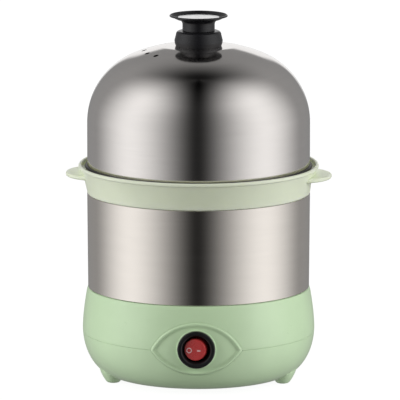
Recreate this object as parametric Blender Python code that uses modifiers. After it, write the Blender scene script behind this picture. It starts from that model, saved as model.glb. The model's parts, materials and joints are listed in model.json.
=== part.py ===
"""Two-tier egg boiler: a plastic base with a heating dish, a steel ring, an egg tray and a dome lid.

Metres, +Z up. The origin is on the floor, on the axis of the round body. The switch faces -Y.
"""

import math

import bmesh
import bpy
from mathutils import Matrix

# Fits
seat_gap = 0.0003
slide_gap = 0.0006
overrun = 0.004

# Counts and finish of round shapes
round_steps = 40
knob_steps = 28
small_steps = 12
egg_hole_steps = 20
egg_hole_turn = 9.0
axis_merge = 0.00001

# Base casing, outside
base_bottom = 0.0028
belly_radius = 0.0785
heel_inset = 0.0225
belly_height = 0.0350
rim_inset = 0.0033
rim_height = 0.0625
rim_round = 0.0009
belly_power = 1.6
casing_wall = 0.0024
seam_height = 0.0323
tongue_height = 0.0018
tongue_thickness = 0.0010

# Feet, moulded in the lower casing
foot_inset = 0.0172
foot_tip_radius = 0.0030
foot_tip_round_radius = 0.0046
foot_tip_round_height = 0.0008
foot_knee_radius = 0.0067
foot_knee_height = 0.0039
foot_shoulder_radius = 0.0082
foot_shoulder_height = 0.0068
foot_top_radius = 0.0105
foot_top_height = 0.0148
foot_angles = (201.0, 339.0, 90.0)
foot_steps = 16

# Deck of the upper casing, which carries the dish and the steel ring
deck_thickness = 0.0024
deck_width = 0.0152
spigot_thickness = 0.0018
spigot_height = 0.0042

# Steel ring
ring_wall = 0.0008
ring_inset = 0.0004
ring_flare = 0.0005
ring_height = 0.0644

# Heating dish with its seal and retainer
dish_wall = 0.0008
dish_clearance = 0.0010
dish_depth = 0.0116
dish_bend = 0.0030
dish_flange_clearance = 0.0010
seal_thickness = 0.0012
seal_inset = 0.0025
seal_width = 0.0065
stud_radius = 0.0018
stud_inset = 0.0110
stud_length = 0.0100
retainer_thickness = 0.0010
retainer_wall_inset = 0.0005
retainer_flange_width = 0.0065
retainer_stud_margin = 0.0050
retainer_drop = 0.0040
nut_radius = 0.0036
nut_thickness = 0.0026
stud_angles = (90.0, 210.0, 330.0)

# Heating element, a C-shaped tube under the dish
element_radius = 0.0033
element_inset = 0.0120
element_end_side = 0.0090
element_drop = 0.0090
element_bend = 0.0050
element_pin_radius = 0.0012
element_pin_length = 0.0060

# Thermostat, its bracket and the thermal fuse
thermostat_cap_radius = 0.0082
thermostat_cap_height = 0.0040
thermostat_body_radius = 0.0070
thermostat_body_height = 0.0065
thermostat_tab_side = 0.0050
thermostat_tab_width = 0.0040
thermostat_tab_thickness = 0.0008
thermostat_tab_length = 0.0055
bracket_stud_length = 0.0095
bracket_width = 0.0110
bracket_end = 0.0050
bracket_thickness = 0.0010
fuse_radius = 0.0019
fuse_length = 0.0110
fuse_lead_radius = 0.0006
fuse_lead_length = 0.0040

# Case screws, from below
case_screw_inset = 0.0120
case_screw_angles = (0.0, 60.0, 120.0, 180.0)
boss_radius = 0.0038
boss_split_height = 0.0260
screw_seat_height = 0.0125
screw_head_radius = 0.0029
screw_head_height = 0.0022
screw_shank_radius = 0.0015
screw_length = 0.0300
counterbore_radius = 0.0034

# Switch panel, an eye-shaped insert between the two casings
lens_half_chord = 0.0309
lens_rise = 0.0197
lens_drop = 0.0168
panel_border = 0.0028
panel_proud = 0.0007
panel_recess = 0.0006
panel_bevel = 0.0014
panel_flange = 0.0025
panel_flange_thickness = 0.0015

# Rocker switch
switch_height = 0.0338
switch_seat_radius = 0.0133
bezel_radius = 0.0126
bezel_thickness = 0.0022
bezel_round = 0.0008
switch_barrel_radius = 0.0100
switch_barrel_depth = 0.0165
switch_mouth_radius = 0.0095
switch_bore_radius = 0.0088
switch_bore_depth = 0.0100
rocker_pivot_depth = 0.0035
rocker_back_radius = 0.0080
rocker_front_radius = 0.0073
rocker_back = 0.0030
rocker_front = 0.0048
rocker_round = 0.0006
rocker_tilt = 12.0
trunnion_radius = 0.0010
trunnion_reach = 0.0097
terminal_side = 0.0045
terminal_width = 0.0048
terminal_thickness = 0.0008
terminal_length = 0.0085
terminal_root = 0.0016

# Cord outlet at the rear, in a round pocket of the lower casing
outlet_height = 0.0200
outlet_pocket_radius = 0.0074
outlet_pocket_inset = 0.0060
outlet_pad_radius = 0.0098
outlet_pad_thickness = 0.0030
gland_flange_radius = 0.0067
gland_flange_thickness = 0.0018
gland_neck_radius = 0.0043
gland_bore_radius = 0.0033
gland_sleeve_radius = 0.0052
gland_catch_radius = 0.0060
gland_tip_radius = 0.0045
gland_stand_out = 0.0015
gland_inner_length = 0.0028
clamp_post_radius = 0.0028
clamp_post_side = 0.0085
clamp_post_inset = 0.0185
clamp_bar_length = 0.0235
clamp_bar_width = 0.0065
clamp_bar_thickness = 0.0026
clamp_screw_length = 0.0090
clamp_screw_radius = 0.0011
clamp_head_radius = 0.0024
clamp_head_height = 0.0016

# Terminal block on the floor of the lower casing
block_length = 0.0180
block_width = 0.0110
block_height = 0.0100
block_inset = 0.0425
block_pole_side = 0.0042
block_rail = 0.0015
block_rail_height = 0.0060
block_round = 0.0008
wire_radius = 0.0011
wire_steps = 12

# Egg rack of the lower tier
egg_circle_share = 0.6357
egg_hole_share = 0.3483
rack_clearance = 0.0040
rack_thickness = 0.0020
rack_rise = 0.0029
rack_rim_height = 0.0035
rack_rim_thickness = 0.0016
rack_leg_radius = 0.0030
rack_leg_inset = 0.0180
rack_leg_angles = (30.0, 150.0, 270.0)
rack_tab_width = 0.0200
rack_tab_thickness = 0.0020
rack_tab_height = 0.0140
steam_hole_share = 0.0854
steam_circle_share = 0.5775

# Egg tray of the upper tier
tray_turn = -3.3
tray_wall = 0.0020
tray_floor_drop = 0.0062
tray_flare = 0.0047
tray_flare_power = 1.24
tray_neck_height = 0.0162
tray_lip_overhang = 0.0011
tray_lip_thickness = 0.0021
tray_lip_height = 0.0190
tray_lip_round = 0.0008
tray_shelf_height = 0.0161
tray_facet_inset = 0.0002
ear_stand_out = 0.0089
ear_disc_radius = 0.0258
ear_thickness = 0.0030
ear_drop = 0.0062
ear_round = 0.0010

# Dome lid
dome_inset = 0.0059
dome_wall = 0.0008
dome_knuckle_radius = 0.0495
dome_knuckle_height = 0.1750
dome_crown_radius = 0.1225
dome_flat_radius = 0.0235
bead_radius = 0.0011
bead_overhang = 0.0016
vent_radius = 0.00175
vent_inset = 0.0385
vent_angles = (180.0, 201.0, 220.0)

# Knob
knob_screw_radius = 0.0019
knob_screw_hole = 0.0023
knob_screw_length = 0.0171
knob_screw_head_radius = 0.0038
knob_screw_head_height = 0.0024
knob_washer_radius = 0.0065
knob_washer_thickness = 0.0012
collar_radius = 0.0163
collar_top_radius = 0.0153
collar_foot_radius = 0.0154
collar_height = 0.0099
collar_belly_height = 0.0035
collar_round = 0.0024
grip_neck_radius = 0.0109
grip_neck_height = 0.0059
grip_funnel_height = 0.0032
grip_rim_radius = 0.0196
grip_rim_height = 0.0015
grip_rim_round = 0.0007
grip_lip_radius = 0.0188
grip_floor_radius = 0.0148
grip_pocket_depth = 0.0030
grip_bore_depth = 0.0060
insert_radius = 0.0142
insert_thickness = 0.0011
insert_dish = 0.0004

# Radii and places that follow from the belly of the base
heel_radius = belly_radius - heel_inset
rim_radius = belly_radius - rim_inset
foot_circle = belly_radius - foot_inset
case_screw_circle = belly_radius - case_screw_inset
outlet_pocket_depth = belly_radius - outlet_pocket_inset
clamp_post_place = outlet_pocket_depth - clamp_post_inset
gland_reach = belly_radius + gland_stand_out
block_place = belly_radius - block_inset
ring_foot_radius = rim_radius - ring_inset
ring_top_radius = ring_foot_radius + ring_flare
spigot_outer = ring_foot_radius - ring_wall - slide_gap
spigot_inner = spigot_outer - spigot_thickness
deck_hole_radius = rim_radius - deck_width
dish_radius = deck_hole_radius - dish_clearance
dish_flange_radius = spigot_inner - dish_flange_clearance
seal_inner_radius = deck_hole_radius + seal_inset
seal_outer_radius = seal_inner_radius + seal_width
stud_circle = dish_radius - stud_inset
retainer_wall_radius = deck_hole_radius + retainer_wall_inset
retainer_outer_radius = retainer_wall_radius + retainer_flange_width
retainer_inner_radius = stud_circle - retainer_stud_margin
element_circle = stud_circle - element_inset
bracket_stud_side = (thermostat_cap_radius + element_circle - element_radius) / 2
fuse_offset = bracket_stud_side
rack_radius = ring_foot_radius - ring_wall - rack_clearance
rack_leg_circle = rack_radius - rack_leg_inset
egg_circle = rack_radius * egg_circle_share
egg_hole_radius = egg_circle * egg_hole_share
steam_hole_radius = egg_circle * steam_hole_share
steam_hole_circle = egg_circle * steam_circle_share
tray_foot_radius = ring_top_radius
tray_neck_radius = tray_foot_radius + tray_flare
tray_lip_radius = tray_neck_radius + tray_lip_overhang
tray_facet_place = tray_foot_radius + tray_facet_inset
ear_reach = tray_lip_radius + ear_stand_out
dome_radius = tray_lip_radius - dome_inset
bead_reach = dome_radius + bead_overhang
vent_circle = dome_radius - vent_inset
panel_back_radius = belly_radius - casing_wall - slide_gap - panel_flange_thickness
panel_back_side = lens_half_chord + 2 * panel_flange
panel_reach = belly_radius - math.sqrt(panel_back_radius**2 - panel_back_side**2)

# Heights that follow from the sizes above
deck_underside = rim_height - deck_thickness
ring_foot_height = rim_height + seat_gap
ring_top_height = ring_foot_height + ring_height
seal_height = rim_height + seat_gap
dish_flange_height = seal_height + seal_thickness + seat_gap
dish_floor_height = dish_flange_height + dish_wall - dish_depth
dish_underside = dish_floor_height - dish_wall
rack_height = dish_flange_height + dish_wall + rack_rise
tray_foot_height = ring_top_height + seat_gap
tray_floor_height = tray_foot_height - tray_floor_drop
shelf_height = tray_foot_height + tray_shelf_height
bead_height = shelf_height + seat_gap + bead_radius
bead_centre_radius = bead_reach - bead_radius
switch_seat_place = -(belly_radius - panel_recess)
switch_place = switch_seat_place - seat_gap
floor_top = base_bottom + casing_wall
retainer_height = dish_underside - retainer_drop

crown_drop = math.sqrt(
    (dome_crown_radius - dome_knuckle_radius) ** 2 - (dome_radius - dome_knuckle_radius) ** 2
)
crown_centre = dome_knuckle_height - crown_drop
dome_top = crown_centre + math.sqrt(dome_crown_radius**2 - dome_flat_radius**2)


def clear_scene():
    for obj in list(bpy.data.objects):
        bpy.data.objects.remove(obj, do_unlink=True)
    for collection in list(bpy.data.collections):
        bpy.data.collections.remove(collection)


def new_collection(name):
    collection = bpy.data.collections.new(name)
    bpy.context.scene.collection.children.link(collection)
    return collection


clear_scene()
parts = new_collection("egg_boiler")
cutters = new_collection("cutters")


def new_material(name, color, roughness, metallic=0.0):
    material = bpy.data.materials.new(name)
    material.use_nodes = True
    shader = material.node_tree.nodes["Principled BSDF"]
    shader.inputs["Base Color"].default_value = (*color, 1.0)
    shader.inputs["Roughness"].default_value = roughness
    shader.inputs["Metallic"].default_value = metallic
    return material


green_plastic = new_material("green_plastic", (0.36, 0.52, 0.29), 0.4)
tray_plastic = new_material("tray_plastic", (0.60, 0.65, 0.56), 0.5)
brushed_steel = new_material("brushed_steel", (0.70, 0.67, 0.64), 0.3, 1.0)
polished_steel = new_material("polished_steel", (0.80, 0.80, 0.80), 0.1, 1.0)
black_plastic = new_material("black_plastic", (0.015, 0.015, 0.018), 0.4)
red_plastic = new_material("red_plastic", (0.30, 0.03, 0.03), 0.35)
white_plastic = new_material("white_plastic", (0.75, 0.75, 0.72), 0.5)
silicone = new_material("silicone", (0.70, 0.70, 0.68), 0.7)
black_rubber = new_material("black_rubber", (0.02, 0.02, 0.02), 0.7)
zinc_steel = new_material("zinc_steel", (0.62, 0.63, 0.65), 0.35, 1.0)
brass = new_material("brass", (0.70, 0.52, 0.22), 0.35, 1.0)
aluminium = new_material("aluminium", (0.72, 0.73, 0.74), 0.4, 1.0)
wire_brown = new_material("wire_brown", (0.16, 0.07, 0.03), 0.5)
wire_blue = new_material("wire_blue", (0.03, 0.10, 0.35), 0.5)


def new_empty(name, location=(0.0, 0.0, 0.0), turn=0.0):
    """An empty that carries the pieces of one moving group."""
    empty = bpy.data.objects.new(name, None)
    parts.objects.link(empty)
    empty.location = location
    empty.rotation_euler = (0.0, 0.0, math.radians(turn))
    return empty


def place(name, mesh, material, parent=None, location=(0.0, 0.0, 0.0), rotation=(0.0, 0.0, 0.0)):
    """Puts a mesh in the scene: as a piece, or as a cutter where it has no material."""
    obj = bpy.data.objects.new(name, mesh)
    if material is None:
        cutters.objects.link(obj)
        obj.hide_render = True
        obj.display_type = "WIRE"
    else:
        parts.objects.link(obj)
        mesh.materials.append(material)
    obj.parent = parent
    obj.location = location
    obj.rotation_euler = [math.radians(angle) for angle in rotation]
    return obj


def shade(mesh):
    mesh.shade_smooth()
    mesh.set_sharp_from_angle(angle=math.radians(35.0))


def mesh_from(name, builder):
    """A mesh made by a function that fills a bmesh."""
    mesh = bpy.data.meshes.new(name)
    bm = bmesh.new()
    builder(bm)
    bmesh.ops.recalc_face_normals(bm, faces=bm.faces)
    bm.to_mesh(mesh)
    bm.free()
    shade(mesh)
    return mesh


def turned(name, outline, material, steps=round_steps, closed=True, **where):
    """Turns an outline of (radius, height) points, which runs down the outer side, about its Z axis."""
    last = len(outline) - 1
    edges = [(i, i + 1) for i in range(last)]
    if closed:
        edges.append((last, 0))
    mesh = bpy.data.meshes.new(name)
    mesh.from_pydata([(radius, 0.0, height) for radius, height in outline], edges, [])
    obj = place(name, mesh, material, **where)
    screw = obj.modifiers.new("turn", "SCREW")
    screw.steps = steps
    screw.render_steps = steps
    screw.use_merge_vertices = True
    screw.merge_threshold = axis_merge
    screw.use_smooth_shade = True
    return obj


def cylinder(name, radius, length, material, steps=small_steps, top_radius=None, **where):
    """A cylinder or a cone on its Z axis, from zero up to its length."""

    def build(bm):
        bmesh.ops.create_cone(
            bm,
            cap_ends=True,
            segments=steps,
            radius1=radius,
            radius2=radius if top_radius is None else top_radius,
            depth=length,
            matrix=Matrix.Translation((0.0, 0.0, length / 2)),
        )

    return place(name, mesh_from(name, build), material, **where)


def box(name, size, material, bevel=0.0, **where):
    """A box centred on its own origin, with its edges rounded where a bevel is given."""

    def build(bm):
        bmesh.ops.create_cube(bm, size=1.0, matrix=Matrix.Diagonal((*size, 1.0)))

    obj = place(name, mesh_from(name, build), material, **where)
    if bevel:
        edge = obj.modifiers.new("edges", "BEVEL")
        edge.width = bevel
        edge.segments = 2
        edge.limit_method = "ANGLE"
    return obj


def boolean(obj, tool, operation):
    modifier = obj.modifiers.new(f"{operation.lower()} {tool.name}", "BOOLEAN")
    modifier.operation = operation
    modifier.object = tool
    modifier.solver = "EXACT"


def cut(obj, tool):
    boolean(obj, tool, "DIFFERENCE")


def join(obj, tool):
    boolean(obj, tool, "UNION")


def keep_common(obj, tool):
    boolean(obj, tool, "INTERSECT")


def tube(name, points, radius, material, bevel_resolution=1):
    """A round wire along the points, with closed ends."""
    curve = bpy.data.curves.new(name, "CURVE")
    curve.dimensions = "3D"
    curve.bevel_depth = radius
    curve.bevel_resolution = bevel_resolution
    curve.use_fill_caps = True
    spline = curve.splines.new("POLY")
    spline.points.add(len(points) - 1)
    for point, place_of in zip(spline.points, points):
        point.co = (*place_of, 1.0)
    obj = bpy.data.objects.new(name, curve)
    parts.objects.link(obj)
    curve.materials.append(material)
    return obj


def arc(centre, radius, start, end, steps):
    """Points on an arc in the outline's plane, from the start angle to the end angle in degrees."""
    angles = [math.radians(start + (end - start) * i / steps) for i in range(steps + 1)]
    return [
        (centre[0] + radius * math.cos(angle), centre[1] + radius * math.sin(angle))
        for angle in angles
    ]


def on_circle(radius, angle, height=0.0):
    return (
        radius * math.cos(math.radians(angle)),
        radius * math.sin(math.radians(angle)),
        height,
    )


def casing_radius(height, inset=0.0):
    """Outer radius of the base casing at a height, or of the surface that lies inset within it."""
    if height >= belly_height:
        share = (height - belly_height) / (rim_height - belly_height)
        return belly_radius - inset - (belly_radius - rim_radius) * share**belly_power
    share = (belly_height - height) / (belly_height - base_bottom - inset)
    return heel_radius + (belly_radius - inset - heel_radius) * math.sqrt(max(0.0, 1.0 - share**2))


def casing_outline(top, bottom, steps, inset=0.0):
    """Points down the casing between two heights, moved inwards by the inset."""
    heights = [top + (bottom - top) * i / steps for i in range(steps + 1)]
    return [(casing_radius(height, inset), height) for height in heights]


def underside_outline(start_height, inset, steps):
    """Points on the quarter ellipse under the belly, from the start height down to the heel."""
    depth = belly_height - base_bottom - inset
    reach = belly_radius - inset - heel_radius
    start = math.asin((belly_height - start_height) / depth)
    angles = [start + (math.pi / 2 - start) * i / steps for i in range(steps + 1)]
    return [
        (heel_radius + reach * math.cos(angle), belly_height - depth * math.sin(angle))
        for angle in angles
    ]


def lens_outline(inset, steps=10):
    """The eye outline as (x, z) points, made smaller all round by the inset."""
    top_radius = (lens_half_chord**2 + lens_rise**2) / (2 * lens_rise)
    low_radius = (lens_half_chord**2 + lens_drop**2) / (2 * lens_drop)
    top_centre = lens_rise - top_radius
    low_centre = low_radius - lens_drop
    top = top_radius - inset
    low = low_radius - inset
    corner_z = (top**2 - low**2 + low_centre**2 - top_centre**2) / (2 * (low_centre - top_centre))
    corner_x = math.sqrt(top**2 - (corner_z - top_centre) ** 2)
    start = math.degrees(math.atan2(corner_z - top_centre, corner_x))
    upper = arc((0.0, top_centre), top, start, 180.0 - start, steps)
    turn = math.degrees(math.atan2(low_centre - corner_z, corner_x))
    lower = arc((0.0, low_centre), low, 180.0 + turn, 360.0 - turn, steps)
    return [(x, z + seam_height) for x, z in upper + lower[1:-1]]


def lens_prism(name, front_inset, back_inset):
    """A cutter with the eye outline, which runs through the front wall of the casing."""
    front = -(belly_radius + overrun)
    back = front + panel_reach + overrun
    rings = ((lens_outline(front_inset), front), (lens_outline(back_inset), back))

    def build(bm):
        loops = []
        for outline, depth in rings:
            corners = [bm.verts.new((x, depth, z)) for x, z in outline]
            bm.faces.new(corners)
            loops.append([corner for corner in corners])
        count = len(loops[0])
        for i in range(count):
            j = (i + 1) % count
            bm.faces.new((loops[0][i], loops[0][j], loops[1][j], loops[1][i]))

    return place(name, mesh_from(name, build), None)


def barrel_wall(name, outer_inset, inner_inset, material):
    """A band of the casing's own curve between two insets, over the height of the eye panel."""
    top = seam_height + lens_rise + overrun
    bottom = seam_height - lens_drop - overrun
    outer = casing_outline(top, bottom, 12, outer_inset)
    inner = casing_outline(top, bottom, 12, inner_inset)
    return turned(name, outer + inner[::-1], material)


def bezier(start, start_pull, end_pull, end):
    """Points on a cubic curve, for a wire's route."""
    points = []
    for i in range(wire_steps + 1):
        t = i / wire_steps
        weights = ((1 - t) ** 3, 3 * (1 - t) ** 2 * t, 3 * (1 - t) * t**2, t**3)
        knots = (start, start_pull, end_pull, end)
        points.append([sum(w * knot[k] for w, knot in zip(weights, knots)) for k in range(3)])
    return points


def make_upper_shell():
    low = seam_height + seat_gap / 2
    groove_radius = casing_radius(seam_height, casing_wall) + tongue_thickness + seat_gap
    groove_top = seam_height + tongue_height + seat_gap
    rim = arc((rim_radius - rim_round, rim_height - rim_round), rim_round, 90.0, 0.0, 2)
    outside = casing_outline(rim_height - rim_round, low, 7)[1:]
    inside = casing_outline(deck_underside, groove_top, 4, inset=casing_wall)[::-1]
    outline = rim + outside + [(groove_radius, low), (groove_radius, groove_top)] + inside
    outline += [
        (deck_hole_radius, deck_underside),
        (deck_hole_radius, rim_height),
        (spigot_inner, rim_height),
        (spigot_inner, rim_height + spigot_height),
        (spigot_outer, rim_height + spigot_height),
        (spigot_outer, rim_height),
    ]
    shell = turned("base_upper_shell", outline, green_plastic)
    cut(shell, lens_opening)
    for i, angle in enumerate(case_screw_angles):
        foot = on_circle(case_screw_circle, angle, boss_split_height + seat_gap)
        length = deck_underside + deck_thickness / 2 - foot[2]
        join(shell, cylinder(f"upper_boss_{i}", boss_radius, length, None, location=foot))
    for i, angle in enumerate(case_screw_angles):
        foot = on_circle(case_screw_circle, angle, boss_split_height - overrun)
        length = screw_seat_height + screw_length + seat_gap - foot[2]
        hole = cylinder(f"upper_boss_hole_{i}", screw_shank_radius + seat_gap, length, None, 10, location=foot)
        cut(shell, hole)
    return shell


def make_casing_core():
    """Solid inside of the lower casing, up to the middle of its wall."""
    inset = casing_wall / 2
    outline = [(0.0, seam_height)] + underside_outline(seam_height - seat_gap, inset, 8)
    return turned("casing_core", outline + [(0.0, base_bottom + inset)], None, closed=False)


def make_foot(name, angle):
    """One foot, to be joined to the casing: a cone with a rounded tip."""
    outline = [
        (0.0, foot_top_height),
        (foot_top_radius, foot_top_height),
        (foot_shoulder_radius, foot_shoulder_height),
        (foot_knee_radius, foot_knee_height),
        (foot_tip_round_radius, foot_tip_round_height),
        (foot_tip_radius, 0.0),
        (0.0, 0.0),
    ]
    where = on_circle(foot_circle, angle)
    foot = turned(name, outline, None, foot_steps, closed=False, location=where)
    cut(foot, casing_core)
    return foot


def make_lower_shell():
    high = seam_height - seat_gap / 2
    tongue_top = seam_height + tongue_height
    inner = underside_outline(high, casing_wall, 6)[::-1]
    outer = underside_outline(high, 0.0, 9)
    tongue_inner = inner[-1][0]
    outline = [(0.0, floor_top)] + inner
    outline += [
        (tongue_inner, tongue_top),
        (tongue_inner + tongue_thickness, tongue_top),
        (tongue_inner + tongue_thickness, high),
    ]
    outline += outer + [(0.0, base_bottom)]
    shell = turned("base_lower_shell", outline, green_plastic, closed=False)
    cut(shell, lens_opening)
    for i, angle in enumerate(foot_angles):
        join(shell, make_foot(f"foot_shape_{i}", angle))
    for i, angle in enumerate(case_screw_angles):
        foot = on_circle(case_screw_circle, angle, screw_seat_height - casing_wall)
        length = boss_split_height - foot[2]
        join(shell, cylinder(f"lower_boss_{i}", boss_radius, length, None, location=foot))
    for i, angle in enumerate(case_screw_angles):
        foot = on_circle(case_screw_circle, angle)
        hole = cylinder(f"counterbore_{i}", counterbore_radius, screw_seat_height, None, location=foot)
        cut(shell, hole)
        length = boss_split_height + overrun
        radius = screw_shank_radius + seat_gap
        cut(shell, cylinder(f"lower_boss_hole_{i}", radius, length, None, 10, location=foot))
    cut_cord_outlet(shell)
    add_clamp_posts(shell)
    add_block_rails(shell)
    return shell


def cut_cord_outlet(shell):
    """A pad inside the rear wall, a round pocket outside it and the hole for the gland."""
    pad_start = outlet_pocket_depth - outlet_pad_thickness
    back = belly_radius + overrun
    pad_length = casing_radius(outlet_height) - casing_wall / 2 - pad_start
    along = {"rotation": (-90.0, 0.0, 0.0)}
    pad = cylinder(
        "outlet_pad", outlet_pad_radius, pad_length, None, 16, location=(0.0, pad_start, outlet_height), **along
    )
    keep_common(pad, casing_core)
    join(shell, pad)
    pocket = cylinder(
        "outlet_pocket",
        outlet_pocket_radius,
        back - outlet_pocket_depth,
        None,
        16,
        location=(0.0, outlet_pocket_depth, outlet_height),
        **along,
    )
    cut(shell, pocket)
    start = pad_start - overrun
    hole = cylinder(
        "outlet_hole",
        gland_neck_radius + seat_gap,
        back - start,
        None,
        16,
        location=(0.0, start, outlet_height),
        **along,
    )
    cut(shell, hole)


def clamp_bar_underside():
    return outlet_height + gland_bore_radius + seat_gap


def add_clamp_posts(shell):
    top = clamp_bar_underside() - seat_gap
    foot = base_bottom + casing_wall / 2
    for side in (-1, 1):
        where = (side * clamp_post_side, clamp_post_place, foot)
        join(shell, cylinder(f"clamp_post_{side}", clamp_post_radius, top - foot, None, location=where))
    for side in (-1, 1):
        depth = clamp_screw_length - clamp_bar_thickness
        where = (side * clamp_post_side, clamp_post_place, top - depth)
        radius = clamp_screw_radius + seat_gap
        cut(shell, cylinder(f"clamp_post_hole_{side}", radius, depth + overrun, None, 8, location=where))


def add_block_rails(shell):
    side_place = block_length / 2 + seat_gap + block_rail / 2
    height = block_rail_height + casing_wall / 2
    for side in (-1, 1):
        where = (side * side_place, block_place, floor_top - casing_wall / 2 + height / 2)
        join(shell, box(f"block_rail_{side}", (block_rail, block_width, height), None, location=where))


def make_switch_panel():
    """The eye-shaped panel: a raised border, a floor that follows the casing and a flat switch seat."""
    panel = barrel_wall("switch_panel", -panel_proud, casing_wall, green_plastic)
    keep_common(panel, lens_prism("panel_edge", seat_gap, seat_gap))
    flange_face = casing_wall + slide_gap
    flange_back = flange_face + panel_flange_thickness
    flange = barrel_wall("panel_flange", casing_wall - seat_gap, flange_back, None)
    keep_common(flange, lens_prism("panel_flange_core", seat_gap, seat_gap))
    brim = barrel_wall("panel_brim", flange_face, flange_back, None)
    keep_common(brim, lens_prism("panel_flange_edge", -panel_flange, -panel_flange))
    join(panel, flange)
    join(panel, brim)
    recess = barrel_wall("panel_recess", -panel_proud - overrun, panel_recess, None)
    border = panel_border + panel_bevel
    keep_common(recess, lens_prism("panel_recess_edge", panel_border - panel_bevel, border))
    cut(panel, recess)
    seat_back = switch_seat_place + casing_wall + panel_recess
    seat = cylinder(
        "switch_seat",
        switch_seat_radius,
        seat_back - switch_seat_place,
        None,
        24,
        location=(0.0, seat_back, switch_height),
        rotation=(90.0, 0.0, 0.0),
    )
    join(panel, seat)
    hole = cylinder(
        "switch_hole",
        switch_barrel_radius + seat_gap,
        panel_reach + overrun,
        None,
        24,
        location=(0.0, switch_seat_place + panel_reach, switch_height),
        rotation=(90.0, 0.0, 0.0),
    )
    cut(panel, hole)
    return panel


def make_switch_housing():
    """Snap-in round housing: a bezel in front of the panel and a barrel behind it."""
    back = -switch_barrel_depth
    bore_floor = -switch_bore_depth
    outline = [(0.0, bore_floor), (switch_bore_radius, bore_floor)]
    outline += [
        (switch_bore_radius, 0.0),
        (switch_mouth_radius, bezel_thickness - bezel_round),
        (switch_mouth_radius + bezel_round, bezel_thickness),
    ]
    outline += arc((bezel_radius - bezel_round, bezel_thickness - bezel_round), bezel_round, 90.0, 0.0, 2)
    outline += [
        (bezel_radius, 0.0),
        (switch_barrel_radius, 0.0),
        (switch_barrel_radius, back),
        (0.0, back),
    ]
    where = {"location": (0.0, switch_place, switch_height), "rotation": (90.0, 0.0, 0.0)}
    housing = turned("switch_housing", outline, black_plastic, 24, closed=False, **where)
    pin_hole = cylinder(
        "trunnion_hole",
        trunnion_radius + seat_gap,
        2 * (switch_barrel_radius + overrun),
        None,
        10,
        location=(0.0, switch_place + rocker_pivot_depth, switch_height - switch_barrel_radius - overrun),
    )
    cut(housing, pin_hole)
    return housing


def make_rocker(pivot):
    """The red rocker, modelled about its pivot with its face towards the front."""
    outline = [(0.0, rocker_front)]
    outline += arc(
        (rocker_front_radius - rocker_round, rocker_front - rocker_round), rocker_round, 90.0, 0.0, 2
    )
    outline += [(rocker_back_radius, -rocker_back), (0.0, -rocker_back)]
    rocker = turned(
        "switch_rocker", outline, red_plastic, 24, closed=False, parent=pivot, rotation=(90.0, 0.0, 0.0)
    )
    pin = cylinder(
        "trunnion",
        trunnion_radius,
        2 * trunnion_reach,
        None,
        10,
        parent=pivot,
        location=(0.0, 0.0, -trunnion_reach),
    )
    join(rocker, pin)
    return rocker


def make_switch_terminals():
    """Two tabs at the back of the switch housing, each with a wider root."""
    root_place = switch_place + switch_barrel_depth + seat_gap
    for index, side in ((1, -1), (2, 1)):
        where = (side * terminal_side, root_place + terminal_root / 2, switch_height)
        root = (terminal_thickness + terminal_root, terminal_root, terminal_width + terminal_root)
        tab = box(f"switch_terminal_{index}", root, brass, location=where)
        blade = (terminal_thickness, terminal_length, terminal_width)
        middle = (side * terminal_side, root_place + terminal_length / 2, switch_height)
        join(tab, box(f"terminal_blade_{index}", blade, None, location=middle))


def make_dish():
    """The pressed steel water dish with its flat flange and its five weld studs."""
    top = dish_flange_height + dish_wall
    underside = dish_underside
    floor_radius = dish_radius - dish_bend
    outline = [(0.0, dish_floor_height)]
    outline += arc(
        (floor_radius - dish_wall, dish_floor_height + dish_bend), dish_bend, -90.0, 0.0, 3
    )
    outline += [
        (dish_radius - dish_wall, top),
        (dish_flange_radius, top),
        (dish_flange_radius, dish_flange_height),
        (dish_radius, dish_flange_height),
    ]
    outline += arc((floor_radius, underside + dish_bend), dish_bend, 0.0, -90.0, 3)
    outline += [(0.0, underside)]
    dish = turned("heating_dish", outline, polished_steel, closed=False)
    for i, angle in enumerate(stud_angles):
        foot = on_circle(stud_circle, angle, underside - stud_length)
        join(dish, cylinder(f"dish_stud_{i}", stud_radius, stud_length + dish_wall / 2, None, 10, location=foot))
    for side in (-1, 1):
        foot = (side * bracket_stud_side, 0.0, underside - bracket_stud_length)
        length = bracket_stud_length + dish_wall / 2
        join(dish, cylinder(f"bracket_stud_{side}", stud_radius, length, None, 10, location=foot))
    return dish


def make_seal():
    top = seal_height + seal_thickness
    outline = [
        (seal_outer_radius, top),
        (seal_outer_radius, seal_height),
        (seal_inner_radius, seal_height),
        (seal_inner_radius, top),
    ]
    return turned("dish_seal", outline, silicone)


def make_retainer():
    """Sheet-metal ring: its inner flange hangs on the dish studs, its outer flange grips the deck."""
    top = deck_underside - seat_gap
    low = retainer_height - retainer_thickness
    wall_outer = retainer_wall_radius + retainer_thickness
    outline = [
        (retainer_outer_radius, top),
        (retainer_outer_radius, top - retainer_thickness),
        (wall_outer, top - retainer_thickness),
        (wall_outer, low),
        (retainer_inner_radius, low),
        (retainer_inner_radius, retainer_height),
        (retainer_wall_radius, retainer_height),
        (retainer_wall_radius, top),
    ]
    ring = turned("dish_retainer", outline, zinc_steel)
    for i, angle in enumerate(case_screw_angles):
        foot = on_circle(case_screw_circle, angle, top - retainer_thickness - overrun)
        radius = boss_radius + slide_gap
        cut(ring, cylinder(f"retainer_notch_{i}", radius, 2 * overrun, None, location=foot))
    for i, angle in enumerate(stud_angles):
        foot = on_circle(stud_circle, angle, low - overrun)
        radius = stud_radius + seat_gap
        cut(ring, cylinder(f"retainer_hole_{i}", radius, 2 * overrun, None, 10, location=foot))
    return ring


def make_nut(name, foot):
    nut = cylinder(name, nut_radius, nut_thickness, zinc_steel, 6, location=foot)
    bore = cylinder(
        f"{name}_bore",
        stud_radius + seat_gap,
        nut_thickness + 2 * overrun,
        None,
        10,
        location=(foot[0], foot[1], foot[2] - overrun),
    )
    cut(nut, bore)
    return nut


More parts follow.
